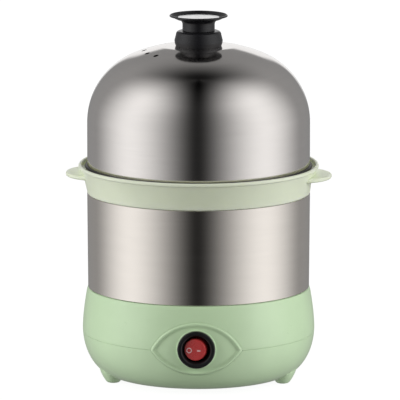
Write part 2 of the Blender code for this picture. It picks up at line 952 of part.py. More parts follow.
def make_dish_nuts():
    height = retainer_height - retainer_thickness - seat_gap - nut_thickness
    for i, angle in enumerate(stud_angles):
        make_nut(f"dish_nut_{i + 1}", on_circle(stud_circle, angle, height))


def make_element():
    """C-shaped tube whose two ends turn down at the rear."""
    height = dish_underside - seat_gap - element_radius
    gap_angle = math.degrees(math.asin((element_end_side + element_bend) / element_circle))
    low = height - element_drop
    steps = 26
    ring = []
    for i in range(steps + 1):
        angle = 90.0 + gap_angle + (360.0 - 2 * gap_angle) * i / steps
        ring.append(on_circle(element_circle, angle, height))
    end_place = math.sqrt(element_circle**2 - element_end_side**2)
    bend_share = 0.3
    left = [
        (-element_end_side, end_place, low),
        (-element_end_side, end_place, height - element_bend),
        (-element_end_side - bend_share * element_bend, end_place, height - bend_share * element_bend),
    ]
    right = [(-x, y, z) for x, y, z in left[::-1]]
    return tube("heating_element", left + ring + right, element_radius, aluminium)


def element_end():
    """Place of the lower end of the heater's left leg."""
    height = dish_underside - seat_gap - element_radius
    place_y = math.sqrt(element_circle**2 - element_end_side**2)
    return element_end_side, place_y, height - element_drop


def make_element_pins():
    side, place_y, low = element_end()
    foot = low - seat_gap - element_pin_length
    for index, sign in ((1, -1), (2, 1)):
        where = (sign * side, place_y, foot)
        cylinder(f"element_pin_{index}", element_pin_radius, element_pin_length, zinc_steel, 8, location=where)


def make_thermostat():
    """Bimetal thermostat: a metal cap against the dish, a round body and two tabs."""
    top = dish_underside - seat_gap
    cap_foot = top - thermostat_cap_height
    body_foot = cap_foot - thermostat_body_height
    outline = [
        (0.0, top),
        (thermostat_cap_radius, top),
        (thermostat_cap_radius, cap_foot),
        (thermostat_body_radius, cap_foot),
        (thermostat_body_radius, body_foot),
        (0.0, body_foot),
    ]
    thermostat = turned("thermostat", outline, white_plastic, 20, closed=False)
    length = thermostat_tab_length + overrun
    for side in (-1, 1):
        where = (side * thermostat_tab_side, 0.0, body_foot + overrun - length / 2)
        size = (thermostat_tab_width, thermostat_tab_thickness, length)
        join(thermostat, box(f"thermostat_tab_{side}", size, None, location=where))
    return thermostat


def bracket_top():
    return dish_underside - seat_gap - thermostat_cap_height - seat_gap


def make_bracket():
    """The bracket with its bore and stud holes, and its nuts."""
    top = bracket_top()
    low = top - bracket_thickness
    body_ring = thermostat_body_radius + seat_gap
    ring_width = body_ring + bracket_end / 2
    outline = [(ring_width, top), (ring_width, low), (body_ring, low), (body_ring, top)]
    bracket = turned("thermostat_bracket", outline, zinc_steel, 20)
    arm_start = body_ring + bracket_end / 4
    arm_end = bracket_stud_side + bracket_end
    for side in (-1, 1):
        where = (side * (arm_start + arm_end) / 2, 0.0, (top + low) / 2)
        size = (arm_end - arm_start, bracket_width, bracket_thickness)
        join(bracket, box(f"bracket_arm_{side}", size, None, location=where))
    core = cylinder("bracket_bore", body_ring, 2 * overrun, None, 20, location=(0.0, 0.0, low - overrun))
    cut(bracket, core)
    for side in (-1, 1):
        foot = (side * bracket_stud_side, 0.0, low - overrun)
        radius = stud_radius + seat_gap
        cut(bracket, cylinder(f"bracket_hole_{side}", radius, 2 * overrun, None, 10, location=foot))
    nut_height = low - seat_gap - nut_thickness
    for index, side in ((1, -1), (2, 1)):
        make_nut(f"bracket_nut_{index}", (side * bracket_stud_side, 0.0, nut_height))
    return bracket


def fuse_height():
    return dish_underside - seat_gap - fuse_radius


def make_fuse():
    """Thermal fuse against the dish, with a lead at each end."""
    half = fuse_length / 2
    reach = half + fuse_lead_length
    outline = [
        (0.0, reach),
        (fuse_lead_radius, reach),
        (fuse_lead_radius, half),
        (fuse_radius, half),
        (fuse_radius, -half),
        (fuse_lead_radius, -half),
        (fuse_lead_radius, -reach),
        (0.0, -reach),
    ]
    where = {"location": (0.0, fuse_offset, fuse_height()), "rotation": (0.0, 90.0, 0.0)}
    return turned("thermal_fuse", outline, white_plastic, small_steps, closed=False, **where)


def make_case_screws():
    """Four screws from below, up through the lower bosses into the upper ones."""
    seat = screw_seat_height - seat_gap
    outline = [
        (0.0, screw_length),
        (screw_shank_radius, screw_length),
        (screw_shank_radius, 0.0),
        (screw_head_radius, 0.0),
        (screw_head_radius, -screw_head_height),
        (0.0, -screw_head_height),
    ]
    for i, angle in enumerate(case_screw_angles):
        where = on_circle(case_screw_circle, angle, seat)
        turned(f"case_screw_{i + 1}", outline, zinc_steel, 10, closed=False, location=where)


def make_gland():
    """Rubber grommet in the rear wall, with a short tapered sleeve outside."""
    pad_inner = outlet_pocket_depth - outlet_pad_thickness
    outer_face = outlet_pocket_depth + seat_gap
    inner_face = pad_inner - seat_gap
    outline = [
        (gland_tip_radius, gland_reach),
        (gland_sleeve_radius, outer_face + gland_flange_thickness),
        (gland_flange_radius, outer_face + gland_flange_thickness),
        (gland_flange_radius, outer_face),
        (gland_neck_radius, outer_face),
        (gland_neck_radius, inner_face),
        (gland_catch_radius, inner_face),
        (gland_sleeve_radius, inner_face - gland_inner_length),
        (gland_bore_radius, inner_face - gland_inner_length),
        (gland_bore_radius, gland_reach),
    ]
    where = {"location": (0.0, 0.0, outlet_height), "rotation": (-90.0, 0.0, 0.0)}
    return turned("cord_gland", outline, black_rubber, 20, **where)


def make_cord_clamp():
    """Clamp bar on two posts, with its two screws."""
    underside = clamp_bar_underside()
    size = (clamp_bar_length, clamp_bar_width, clamp_bar_thickness)
    where = (0.0, clamp_post_place, underside + clamp_bar_thickness / 2)
    bar = box("cord_clamp", size, white_plastic, location=where)
    seat = underside + clamp_bar_thickness + seat_gap
    reach = clamp_screw_length - seat_gap
    outline = [
        (0.0, clamp_head_height),
        (clamp_head_radius, clamp_head_height),
        (clamp_head_radius, 0.0),
        (clamp_screw_radius, 0.0),
        (clamp_screw_radius, -reach),
        (0.0, -reach),
    ]
    for index, side in ((1, -1), (2, 1)):
        foot = (side * clamp_post_side, clamp_post_place, underside - overrun)
        radius = clamp_screw_radius + seat_gap
        cut(bar, cylinder(f"clamp_hole_{index}", radius, 2 * overrun + clamp_bar_thickness, None, 8, location=foot))
        head = (side * clamp_post_side, clamp_post_place, seat)
        turned(f"clamp_screw_{index}", outline, zinc_steel, 10, closed=False, location=head)
    return bar


def block_middle():
    return floor_top + seat_gap + block_height / 2


def make_terminal_block():
    size = (block_length, block_width, block_height)
    where = (0.0, block_place, block_middle())
    block = box("terminal_block", size, white_plastic, bevel=block_round, location=where)
    for side in (-1, 1):
        start = block_place - block_width / 2 - overrun
        hole = cylinder(
            f"block_hole_{side}",
            wire_radius + seat_gap,
            block_width + 2 * overrun,
            None,
            8,
            location=(side * block_pole_side, start, block_middle()),
            rotation=(-90.0, 0.0, 0.0),
        )
        cut(block, hole)
    return block


def make_wires():
    """The five inner wires, each from one terminal to the next."""
    block_front = block_place - block_width / 2 + overrun / 2
    pole = (block_pole_side, block_front, block_middle())
    tab_end = switch_place + switch_barrel_depth + terminal_length + 2 * seat_gap
    switch_left = (-terminal_side, tab_end, switch_height)
    switch_right = (terminal_side, tab_end, switch_height)
    cap_foot = dish_underside - seat_gap - thermostat_cap_height
    tab_foot = cap_foot - thermostat_body_height - thermostat_tab_length - seat_gap
    side, pin_place, low = element_end()
    pin_foot = low - 2 * seat_gap - element_pin_length
    lead = fuse_length / 2 + fuse_lead_length + seat_gap
    long_pull = element_circle / 2
    routes = {
        "wire_live": (
            (-pole[0], pole[1], pole[2]),
            (-pole[0], pole[1] - long_pull, pole[2]),
            (-terminal_side, tab_end + long_pull, switch_height),
            switch_left,
        ),
        "wire_switched": (
            switch_right,
            (terminal_side, tab_end + long_pull, switch_height),
            (thermostat_tab_side, 0.0, tab_foot - thermostat_tab_length - long_pull / 2),
            (thermostat_tab_side, 0.0, tab_foot),
        ),
        "wire_fuse_in": (
            (-thermostat_tab_side, 0.0, tab_foot),
            (-thermostat_tab_side, 0.0, tab_foot - 2 * thermostat_tab_length),
            (lead + 2 * thermostat_tab_length, fuse_offset, fuse_height()),
            (lead, fuse_offset, fuse_height()),
        ),
        "wire_fuse_out": (
            (-lead, fuse_offset, fuse_height()),
            (-lead - element_pin_length, fuse_offset, fuse_height()),
            (-side, pin_place, pin_foot - long_pull),
            (-side, pin_place, pin_foot),
        ),
        "wire_neutral": (
            pole,
            (pole[0], pole[1] - long_pull, pole[2]),
            (side, pin_place, pin_foot - long_pull),
            (side, pin_place, pin_foot),
        ),
    }
    for name, route in routes.items():
        material = wire_blue if name == "wire_neutral" else wire_brown
        tube(name, bezier(*route), wire_radius, material)


def make_ring():
    """The plain steel cylinder of the lower tier, slightly wider at its top."""
    outline = [
        (ring_top_radius, ring_top_height),
        (ring_foot_radius, ring_foot_height),
        (ring_foot_radius - ring_wall, ring_foot_height),
        (ring_top_radius - ring_wall, ring_top_height),
    ]
    return turned("steel_ring", outline, brushed_steel, parent=ring_group)


def cut_egg_holes(piece, prefix, floor_height, thickness, parent):
    """The six outer egg holes and the six steam holes, through a plate that has its middle hole."""
    foot_height = floor_height - overrun
    length = thickness + 2 * overrun
    for i in range(6):
        angle = 60.0 * i
        foot = on_circle(egg_circle, angle, foot_height)
        where = {"parent": parent, "location": foot, "rotation": (0.0, 0.0, angle + egg_hole_turn)}
        cut(piece, cylinder(f"{prefix}_egg_hole_{i}", egg_hole_radius, length, None, egg_hole_steps, **where))
        where["location"] = on_circle(steam_hole_circle, angle + 30.0, foot_height)
        cut(piece, cylinder(f"{prefix}_steam_hole_{i}", steam_hole_radius, length, None, 8, **where))


def make_rack():
    """The lower egg rack: a plate with a turned-up rim, three legs and two finger tabs."""
    top = rack_height + rack_thickness
    rim_top = top + rack_rim_height
    inner = rack_radius - rack_rim_thickness
    outline = [
        (egg_hole_radius, top),
        (inner, top),
        (inner, rim_top),
        (rack_radius, rim_top),
        (rack_radius, rack_height),
        (egg_hole_radius, rack_height),
    ]
    rack = turned("egg_rack", outline, tray_plastic, parent=rack_group)
    leg_foot = dish_floor_height + seat_gap
    for i, angle in enumerate(rack_leg_angles):
        foot = on_circle(rack_leg_circle, angle, leg_foot)
        length = rack_height + rack_thickness / 2 - leg_foot
        join(rack, cylinder(f"rack_leg_{i}", rack_leg_radius, length, None, 10, parent=rack_group, location=foot))
    for side in (-1, 1):
        height = rack_tab_height + rack_thickness / 2
        place_y = side * (inner - rack_tab_thickness)
        where = (0.0, place_y, rack_height + rack_thickness / 2 + height / 2)
        size = (rack_tab_width, rack_tab_thickness, height)
        join(rack, box(f"rack_tab_{side}", size, None, parent=rack_group, location=where))
    cut_egg_holes(rack, "rack", rack_height, rack_thickness, rack_group)
    return rack


def tray_band_outline():
    """Points down the outside of the tray's band, from the lip's underside to its foot."""
    foot = tray_foot_height
    steps = 5
    shares = [1.0 - i / steps for i in range(steps + 1)]
    return [
        (tray_foot_radius + tray_flare * share**tray_flare_power, foot + tray_neck_height * share)
        for share in shares
    ]


def make_tray():
    """The upper egg tray: band, lip, shelf for the lid, skirt in the steel ring and floor."""
    lip_top = tray_foot_height + tray_lip_height
    lip_inner = tray_lip_radius - tray_lip_thickness
    skirt_radius = ring_top_radius - ring_wall - slide_gap
    floor_low = tray_floor_height - tray_wall
    shelf_low = shelf_height - tray_wall
    band = tray_band_outline()
    inner_foot = skirt_radius - tray_wall
    round_centre = (tray_lip_radius - tray_lip_round, lip_top - tray_lip_round)
    outline = [(egg_hole_radius, tray_floor_height), (inner_foot, tray_floor_height)]
    outline += [(inner_foot, shelf_low), (inner_foot, shelf_height), (lip_inner, shelf_height)]
    outline += [(lip_inner, lip_top)]
    outline += arc(round_centre, tray_lip_round, 90.0, 0.0, 2)
    outline += [(tray_lip_radius, band[0][1] + tray_lip_round / 2)]
    outline += band
    outline += [(skirt_radius, tray_foot_height), (skirt_radius, floor_low), (egg_hole_radius, floor_low)]
    tray = turned("egg_tray", outline, tray_plastic, parent=tray_group)
    cut_facets(tray)
    add_ears(tray)
    cut_egg_holes(tray, "tray", floor_low, tray_wall, tray_group)
    return tray


def cut_facets(tray):
    """Flat upright faces on the band under each ear."""
    low = tray_foot_height - overrun / 2
    high = tray_foot_height + tray_neck_height - ear_drop
    depth = tray_neck_radius - tray_facet_place + overrun
    for side in (-1, 1):
        where = (side * (tray_facet_place + depth / 2), 0.0, (low + high) / 2)
        size = (depth, 2 * ear_disc_radius, high - low)
        cut(tray, box(f"facet_{side}", size, None, parent=tray_group, location=where))


def add_ears(tray):
    """Two D-shaped ears: discs cut by a cylinder inside the band."""
    middle = tray_foot_height + tray_neck_height - ear_drop + ear_thickness / 2
    foot_height = middle - ear_thickness / 2
    for side in (-1, 1):
        where = (side * (ear_reach - ear_disc_radius), 0.0, foot_height)
        ear = cylinder(f"ear_{side}", ear_disc_radius, ear_thickness, None, 36, parent=tray_group, location=where)
        edge = ear.modifiers.new("edges", "BEVEL")
        edge.width = ear_round
        edge.segments = 2
        edge.limit_method = "ANGLE"
        core = cylinder(
            f"ear_core_{side}",
            tray_facet_place - tray_wall / 2,
            ear_thickness + 2 * overrun,
            None,
            round_steps,
            parent=tray_group,
            location=(0.0, 0.0, foot_height - overrun),
        )
        cut(ear, core)
        join(tray, ear)


def dome_outline(inset, first_radius):
    """Points down the dome: flat top, crown arc, knuckle arc and the start of the wall, moved in by the inset."""
    knuckle_centre = (dome_radius - dome_knuckle_radius, dome_knuckle_height)
    join_angle = math.degrees(math.atan2(crown_drop, dome_radius - dome_knuckle_radius))
    crown = dome_crown_radius - inset
    flat = dome_top - inset
    first = math.degrees(math.asin((flat - crown_centre) / crown))
    points = [(first_radius, flat)]
    points += arc((0.0, crown_centre), crown, first, join_angle, 3)
    points += arc(knuckle_centre, dome_knuckle_radius - inset, join_angle, 0.0, 8)[1:]
    return points


def make_dome():
    """The steel dome with its rolled rim, vent holes and screw hole."""
    outer = dome_outline(0.0, knob_screw_hole)
    inner = dome_outline(dome_wall, knob_screw_hole)
    lift = math.sqrt(max(0.0, bead_radius**2 - (dome_radius - bead_centre_radius) ** 2))
    start = math.degrees(math.atan2(lift, dome_radius - bead_centre_radius))
    bead = arc((bead_centre_radius, bead_height), bead_radius, start, -90.0, 5)
    outline = outer + bead + [(dome_radius - dome_wall, bead_height - bead_radius)] + inner[::-1]
    dome = turned("dome_lid", outline, brushed_steel, parent=lid_group)
    for i, angle in enumerate(vent_angles):
        foot = on_circle(vent_circle, angle, dome_knuckle_height)
        length = dome_top - dome_knuckle_height + overrun
        cut(dome, cylinder(f"vent_{i}", vent_radius, length, None, 10, parent=lid_group, location=foot))
    return dome


def make_collar():
    """Black heat guard between the dome's flat top and the grip."""
    foot = dome_top + seat_gap
    top = foot + collar_height
    outline = arc((collar_top_radius - collar_round, top - collar_round), collar_round, 90.0, 0.0, 4)
    outline += [
        (collar_radius, foot + collar_belly_height),
        (collar_foot_radius, foot),
        (knob_screw_hole, foot),
        (knob_screw_hole, top),
    ]
    return turned("knob_collar", outline, black_plastic, knob_steps, parent=lid_group)


def grip_foot():
    return dome_top + seat_gap + collar_height + seat_gap


def grip_top():
    return grip_foot() + grip_neck_height + grip_funnel_height + grip_rim_height


def make_grip():
    """The black knob: a neck that opens into a wide dished disc."""
    foot = grip_foot()
    neck_top = foot + grip_neck_height
    rim_low = neck_top + grip_funnel_height
    top = grip_top()
    pocket = top - grip_pocket_depth
    outline = [
        (0.0, pocket),
        (grip_floor_radius, pocket),
        (grip_lip_radius, top - grip_rim_round / 2),
        (grip_rim_radius - grip_rim_round / 2, top),
        (grip_rim_radius, top - grip_rim_round),
        (grip_rim_radius, rim_low),
        ((grip_neck_radius + grip_rim_radius) / 2, neck_top + grip_funnel_height / 3),
        (grip_neck_radius, neck_top),
        (grip_neck_radius, foot),
        (knob_screw_hole, foot),
        (knob_screw_hole, foot + grip_bore_depth),
        (0.0, foot + grip_bore_depth),
    ]
    return turned("knob_grip", outline, black_plastic, knob_steps, closed=False, parent=lid_group)


def make_insert():
    """Bright, slightly dished disc in the top of the knob."""
    foot = grip_top() - grip_pocket_depth + seat_gap
    top = foot + insert_thickness
    outline = [
        (0.0, top - insert_dish),
        (insert_radius / 2, top - 3 * insert_dish / 4),
        (insert_radius - insert_dish, top),
        (insert_radius, foot),
        (0.0, foot),
    ]
    return turned("knob_insert", outline, polished_steel, knob_steps, closed=False, parent=lid_group)


def make_knob_screw():
    """Screw up into the knob, with its washer inside the dome."""
    washer_top = dome_top - dome_wall - seat_gap
    washer_low = washer_top - knob_washer_thickness
    washer = [
        (knob_washer_radius, washer_top),
        (knob_washer_radius, washer_low),
        (knob_screw_hole, washer_low),
        (knob_screw_hole, washer_top),
    ]
    turned("knob_washer", washer, zinc_steel, 20, parent=lid_group)
    seat = washer_low - seat_gap
    top = seat + knob_screw_length
    screw = [
        (0.0, top),
        (knob_screw_radius, top),
        (knob_screw_radius, seat),
        (knob_screw_head_radius, seat),
        (knob_screw_head_radius, seat - knob_screw_head_height),
        (0.0, seat - knob_screw_head_height),
    ]
    turned("knob_screw", screw, zinc_steel, small_steps, closed=False, parent=lid_group)


lid_group = new_empty("lid_lift_axis")
tray_group = new_empty("tray_lift_axis", turn=tray_turn)
ring_group = new_empty("ring_lift_axis")
rack_group = new_empty("rack_lift_axis")
rocker_pivot = new_empty(
    "rocker_pivot", (0.0, switch_place + rocker_pivot_depth, switch_height), -rocker_tilt
)
lens_opening = lens_prism("lens_opening", 0.0, 0.0)
casing_core = make_casing_core()

make_upper_shell()
make_lower_shell()
make_switch_panel()
make_switch_housing()
make_rocker(rocker_pivot)
make_switch_terminals()
make_dish()
make_seal()
make_retainer()
make_dish_nuts()
make_element()
make_element_pins()
make_thermostat()
make_bracket()
make_fuse()
make_case_screws()
make_gland()
make_cord_clamp()
make_terminal_block()
make_wires()
make_ring()
make_rack()
make_tray()
make_dome()
make_collar()
make_grip()
make_insert()
make_knob_screw()
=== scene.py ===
"""Looks of the two-tier egg boiler: finer outer pieces, materials, light and camera."""

import json
import math

import bmesh
import bpy
from mathutils import Matrix, Vector


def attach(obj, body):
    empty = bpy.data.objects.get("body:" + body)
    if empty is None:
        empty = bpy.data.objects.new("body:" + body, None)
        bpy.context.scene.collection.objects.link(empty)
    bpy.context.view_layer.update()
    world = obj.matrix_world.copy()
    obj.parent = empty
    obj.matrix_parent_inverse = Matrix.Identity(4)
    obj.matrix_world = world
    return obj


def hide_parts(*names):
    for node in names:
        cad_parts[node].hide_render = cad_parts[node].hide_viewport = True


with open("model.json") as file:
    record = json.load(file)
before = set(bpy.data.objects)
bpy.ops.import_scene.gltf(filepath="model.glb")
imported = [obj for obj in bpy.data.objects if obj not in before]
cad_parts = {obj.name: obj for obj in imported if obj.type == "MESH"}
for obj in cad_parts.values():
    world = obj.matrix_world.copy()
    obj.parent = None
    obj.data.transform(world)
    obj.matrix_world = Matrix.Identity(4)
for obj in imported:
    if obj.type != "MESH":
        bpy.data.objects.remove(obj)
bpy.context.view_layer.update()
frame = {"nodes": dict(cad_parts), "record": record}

# Fits
seat_gap = 0.0003
collar_seat_gap = 0.00005
slide_gap = 0.0006
overrun = 0.004

# Counts
round_steps = 160
knob_steps = 96
switch_steps = 72
small_steps = 32
gland_steps = 48
mark_steps = 40
egg_hole_steps = 48
steam_hole_steps = 24
ear_steps = 120
flare_steps = 8
axis_merge = 0.00001

# Base casing
base_bottom = 0.0028
heel_radius = 0.0560
belly_radius = 0.0785
belly_height = 0.0350
rim_radius = 0.0752
rim_height = 0.0625
rim_round = 0.0009
belly_power = 1.6
casing_wall = 0.0024
seam_height = 0.0323
seam_gap = 0.0001
seam_round = 0.0001
foot_circle = 0.0613
foot_angles = (201.0, 339.0, 90.0)
foot_profile = (
    (0.0105, 0.0148),
    (0.0097, 0.0115),
    (0.0089, 0.0087),
    (0.0082, 0.0068),
    (0.0074, 0.0052),
    (0.0067, 0.0039),
    (0.0061, 0.0029),
    (0.0056, 0.0021),
    (0.0051, 0.0014),
    (0.0046, 0.0008),
    (0.0040, 0.0003),
    (0.0030, 0.0000),
)
case_screw_circle = 0.0665
case_screw_angles = (0.0, 60.0, 120.0, 180.0)
screw_seat_height = 0.0125
counterbore_radius = 0.0034

# Deck, steel ring and dish
deck_thickness = 0.0024
deck_hole_radius = 0.0600
spigot_thickness = 0.0018
spigot_height = 0.0042
ring_wall = 0.0008
ring_foot_radius = 0.0748
ring_top_radius = 0.0753
ring_height = 0.0644
ring_edge_round = 0.0002
dish_wall = 0.0008
dish_radius = 0.0590
dish_depth = 0.0116
dish_bend = 0.0030
dish_flange_radius = 0.0706
seal_thickness = 0.0012

# Switch panel and rocker switch
lens_half_chord = 0.0309
lens_rise = 0.0197
lens_drop = 0.0168
panel_depth = 0.0030
panel_recess = 0.0006
panel_profile = (
    (0.0001, -0.0024),
    (0.0001, -0.0001),
    (0.0002, 0.0002),
    (0.0006, 0.0006),
    (0.0011, 0.0008),
    (0.0016, 0.0007),
    (0.0021, 0.0005),
    (0.0026, 0.0001),
    (0.0031, -0.0003),
    (0.0036, -0.0005),
    (0.0041, -0.0006),
)
panel_floor_shares = (0.2, 0.4, 0.6, 0.8)
switch_height = 0.0338
switch_seat_radius = 0.0133
switch_seat_round = 0.0004
bezel_radius = 0.0126
bezel_thickness = 0.0022
bezel_round = 0.0009
switch_barrel_radius = 0.0100
switch_barrel_depth = 0.0165
switch_mouth_radius = 0.0095
switch_bore_radius = 0.0088
switch_bore_depth = 0.0100
rocker_pivot_depth = 0.0035
rocker_back_radius = 0.0080
rocker_front_radius = 0.0073
rocker_back = 0.0030
rocker_front = 0.0048
rocker_round = 0.0007
rocker_tilt = 12.0
mark_side = 0.0033
mark_shift = -0.0005
mark_drop = 0.0004
mark_ring_radius = 0.0018
mark_stroke = 0.0005
mark_dash_length = 0.0024
mark_dash_width = 0.0008
mark_relief = 0.00012

# Cord gland
outlet_height = 0.0200
outlet_pocket_radius = 0.0074
outlet_pocket_depth = 0.0725
outlet_pad_thickness = 0.0030
gland_flange_radius = 0.0067
gland_flange_thickness = 0.0018
gland_neck_radius = 0.0043
gland_bore_radius = 0.0033
gland_sleeve_radius = 0.0052
gland_catch_radius = 0.0060
gland_tip_radius = 0.0045
gland_reach = 0.0800
gland_inner_length = 0.0028
gland_round = 0.0005

# Egg rack and egg tray
egg_hole_radius = 0.0155
egg_circle = 0.0445
steam_hole_radius = 0.0038
steam_hole_circle = 0.0257
rack_radius = 0.0700
rack_thickness = 0.0020
rack_height = 0.0680
rack_rim_height = 0.0035
rack_rim_thickness = 0.0016
rack_leg_radius = 0.0030
rack_leg_circle = 0.0520
rack_leg_angles = (30.0, 150.0, 270.0)
rack_tab_width = 0.0200
rack_tab_thickness = 0.0020
rack_tab_height = 0.0140
tray_turn = -3.3
tray_wall = 0.0020
tray_floor_drop = 0.0062
tray_foot_radius = 0.0753
tray_waist_radius = 0.0772
tray_waist_height = 0.0078
tray_neck_radius = 0.0800
tray_neck_height = 0.0162
tray_lip_radius = 0.0811
tray_lip_thickness = 0.0021
tray_lip_height = 0.0190
tray_lip_round = 0.0009
tray_shelf_height = 0.0161
tray_facet_place = 0.0755
ear_reach = 0.0900
ear_disc_radius = 0.0258
ear_thickness = 0.0030
ear_drop = 0.0062
ear_round = 0.0012

# Dome lid and knob
dome_radius = 0.0752
dome_wall = 0.0008
dome_knuckle_radius = 0.0495
dome_knuckle_height = 0.1750
dome_crown_radius = 0.1225
dome_flat_radius = 0.0235
dome_flat_round = 0.0004
dome_flat_blend = 0.5
bead_radius = 0.0011
bead_reach = 0.0768
vent_radius = 0.00175
vent_circle = 0.0367
vent_angles = (180.0, 201.0, 220.0)
vent_wall_slope = 0.5
knob_screw_hole = 0.0023
collar_radius = 0.0163
collar_top_radius = 0.0153
collar_foot_radius = 0.0154
collar_height = 0.0099
collar_belly_height = 0.0035
collar_round = 0.0024
grip_neck_radius = 0.0109
grip_neck_height = 0.0059
grip_funnel_height = 0.0032
grip_rim_radius = 0.0196
grip_rim_height = 0.0015
grip_rim_round = 0.0007
grip_lip_radius = 0.0188
grip_floor_radius = 0.0148
grip_pocket_depth = 0.0030
grip_bore_depth = 0.0060
flare_start = 96.0
insert_radius = 0.0142
insert_thickness = 0.0011
insert_dish = 0.0004
insert_round = 0.0003

# Camera, as the photograph was taken, on a frame of 400 by 400 pixels
camera_distance = 4.5
camera_azimuth = 1.15
camera_elevation = 10.1
camera_target_height = 0.122
camera_sensor = 36.0
camera_lens = 599.1
camera_shift_x = 0.0035
camera_shift_y = -0.0025

# Studio light, alike on both sides: brightness by the angle from the front in degrees, and by the angle
# over the horizon. The backdrop is a pale strip straight behind.
panel_levels = ((0.0, 0.02), (75.0, 1.0), (135.0, 0.3), (180.0, 0.25))
panel_heights = ((-90.0, 0.1), (-15.0, 1.0), (35.0, 1.0), (85.0, 0.03))
backdrop_levels = ((0.0, 0.0), (165.0, 0.0), (172.0, 0.7), (180.0, 0.7))
backdrop_heights = ((-90.0, 0.0), (-7.0, 0.0), (-3.0, 1.0), (15.0, 1.0), (20.0, 0.0))

# Lamps at the two sides, above and behind, which the metal doesn't mirror
side_light_distance = 2.0
side_light_size = 1.6
side_light_power = 29.0
side_light_azimuth = 72.0
side_light_elevation = 8.0
top_light_power = 3.0
top_light_height = 1.6
rear_light_power = 9.0
rear_light_height = 0.5

# Floor
floor_size = 40.0
floor_drop = 0.00002
floor_grey = 0.15
floor_glow = 0.93

# Heights that follow from the sizes above
deck_underside = rim_height - deck_thickness
ring_foot_height = rim_height + seat_gap
ring_top_height = ring_foot_height + ring_height
spigot_outer = ring_foot_radius - ring_wall - slide_gap
spigot_inner = spigot_outer - spigot_thickness
dish_flange_height = rim_height + seat_gap + seal_thickness + seat_gap
dish_floor_height = dish_flange_height + dish_wall - dish_depth
dish_underside = dish_floor_height - dish_wall
tray_foot_height = ring_top_height + seat_gap
tray_floor_height = tray_foot_height - tray_floor_drop
shelf_height = tray_foot_height + tray_shelf_height
bead_height = shelf_height + seat_gap + bead_radius
bead_centre_radius = bead_reach - bead_radius
switch_seat_place = -(belly_radius - panel_recess)
switch_place = switch_seat_place - seat_gap
floor_top = base_bottom + casing_wall

crown_drop = math.sqrt(
    (dome_crown_radius - dome_knuckle_radius) ** 2 - (dome_radius - dome_knuckle_radius) ** 2
)
crown_centre = dome_knuckle_height - crown_drop
dome_top = crown_centre + math.sqrt(dome_crown_radius**2 - dome_flat_radius**2)


# Materials


def add_node(tree, kind, inputs=None, **settings):
    """A shader node with its settings, and its inputs given as values or as other nodes' outputs."""
    made = tree.nodes.new(kind)
    for name, value in settings.items():
        setattr(made, name, value)
    for key, value in (inputs or {}).items():
        if isinstance(value, bpy.types.NodeSocket):
            tree.links.new(value, made.inputs[key])
        else:
            made.inputs[key].default_value = value
    return made


def math_node(tree, operation, first, second=0.0):
    return add_node(tree, "ShaderNodeMath", {0: first, 1: second}, operation=operation).outputs[0]


def ramp_node(tree, factor, stops, interpolation="EASE"):
    """A colour ramp from (place, value) stops, where a value is a grey level or a colour."""
    made = add_node(tree, "ShaderNodeValToRGB", {"Fac": factor})
    ramp = made.color_ramp
    ramp.interpolation = interpolation
    while len(ramp.elements) > 1:
        ramp.elements.remove(ramp.elements[-1])
    for index, (place, value) in enumerate(stops):
        element = ramp.elements[0] if index == 0 else ramp.elements.new(place)
        element.position = place
        color = (value, value, value) if isinstance(value, float) else value
        element.color = (*color, 1.0)
    return made.outputs["Color"]


def new_material(name):
    material = bpy.data.materials.new(name)
    material.use_nodes = True
    tree = material.node_tree
    return material, tree, tree.nodes["Principled BSDF"]


def noise_node(tree, vector, scale, detail=2.0, roughness=0.5):
    inputs = {"Vector": vector, "Scale": scale, "Detail": detail, "Roughness": roughness}
    return add_node(tree, "ShaderNodeTexNoise", inputs).outputs["Fac"]


def set_bump(tree, shader, height, strength, distance):
    bump = add_node(
        tree, "ShaderNodeBump", {"Height": height, "Strength": strength, "Distance": distance}
    )
    tree.links.new(bump.outputs["Normal"], shader.inputs["Normal"])


def moulded_plastic(name, color, roughness, spread=0.05, grain=900.0, bump=0.10, **values):
    """Moulded plastic: faint colour clouds, uneven gloss and a fine surface texture."""
    material, tree, shader = new_material(name)
    place = add_node(tree, "ShaderNodeTexCoord").outputs["Object"]
    clouds = noise_node(tree, place, 45.0, 3.0)
    dark = tuple(channel * (1.0 - spread) for channel in color)
    light = tuple(min(1.0, channel * (1.0 + spread)) for channel in color)
    tree.links.new(
        ramp_node(tree, clouds, ((0.3, dark), (0.7, light))), shader.inputs["Base Color"]
    )
    grains = noise_node(tree, place, grain, 2.0)
    smudges = noise_node(tree, place, 70.0, 4.0, 0.6)
    mixed = math_node(tree, "ADD", math_node(tree, "MULTIPLY", grains, 0.3), smudges)
    gloss = add_node(
        tree,
        "ShaderNodeMapRange",
        {
            "Value": mixed,
            "From Min": 0.4,
            "From Max": 0.9,
            "To Min": roughness * 0.85,
            "To Max": roughness * 1.15,
        },
    )
    tree.links.new(gloss.outputs["Result"], shader.inputs["Roughness"])
    set_bump(tree, shader, grains, bump, 0.00008)
    for key, value in values.items():
        shader.inputs[key.replace("_", " ")].default_value = value
    return material


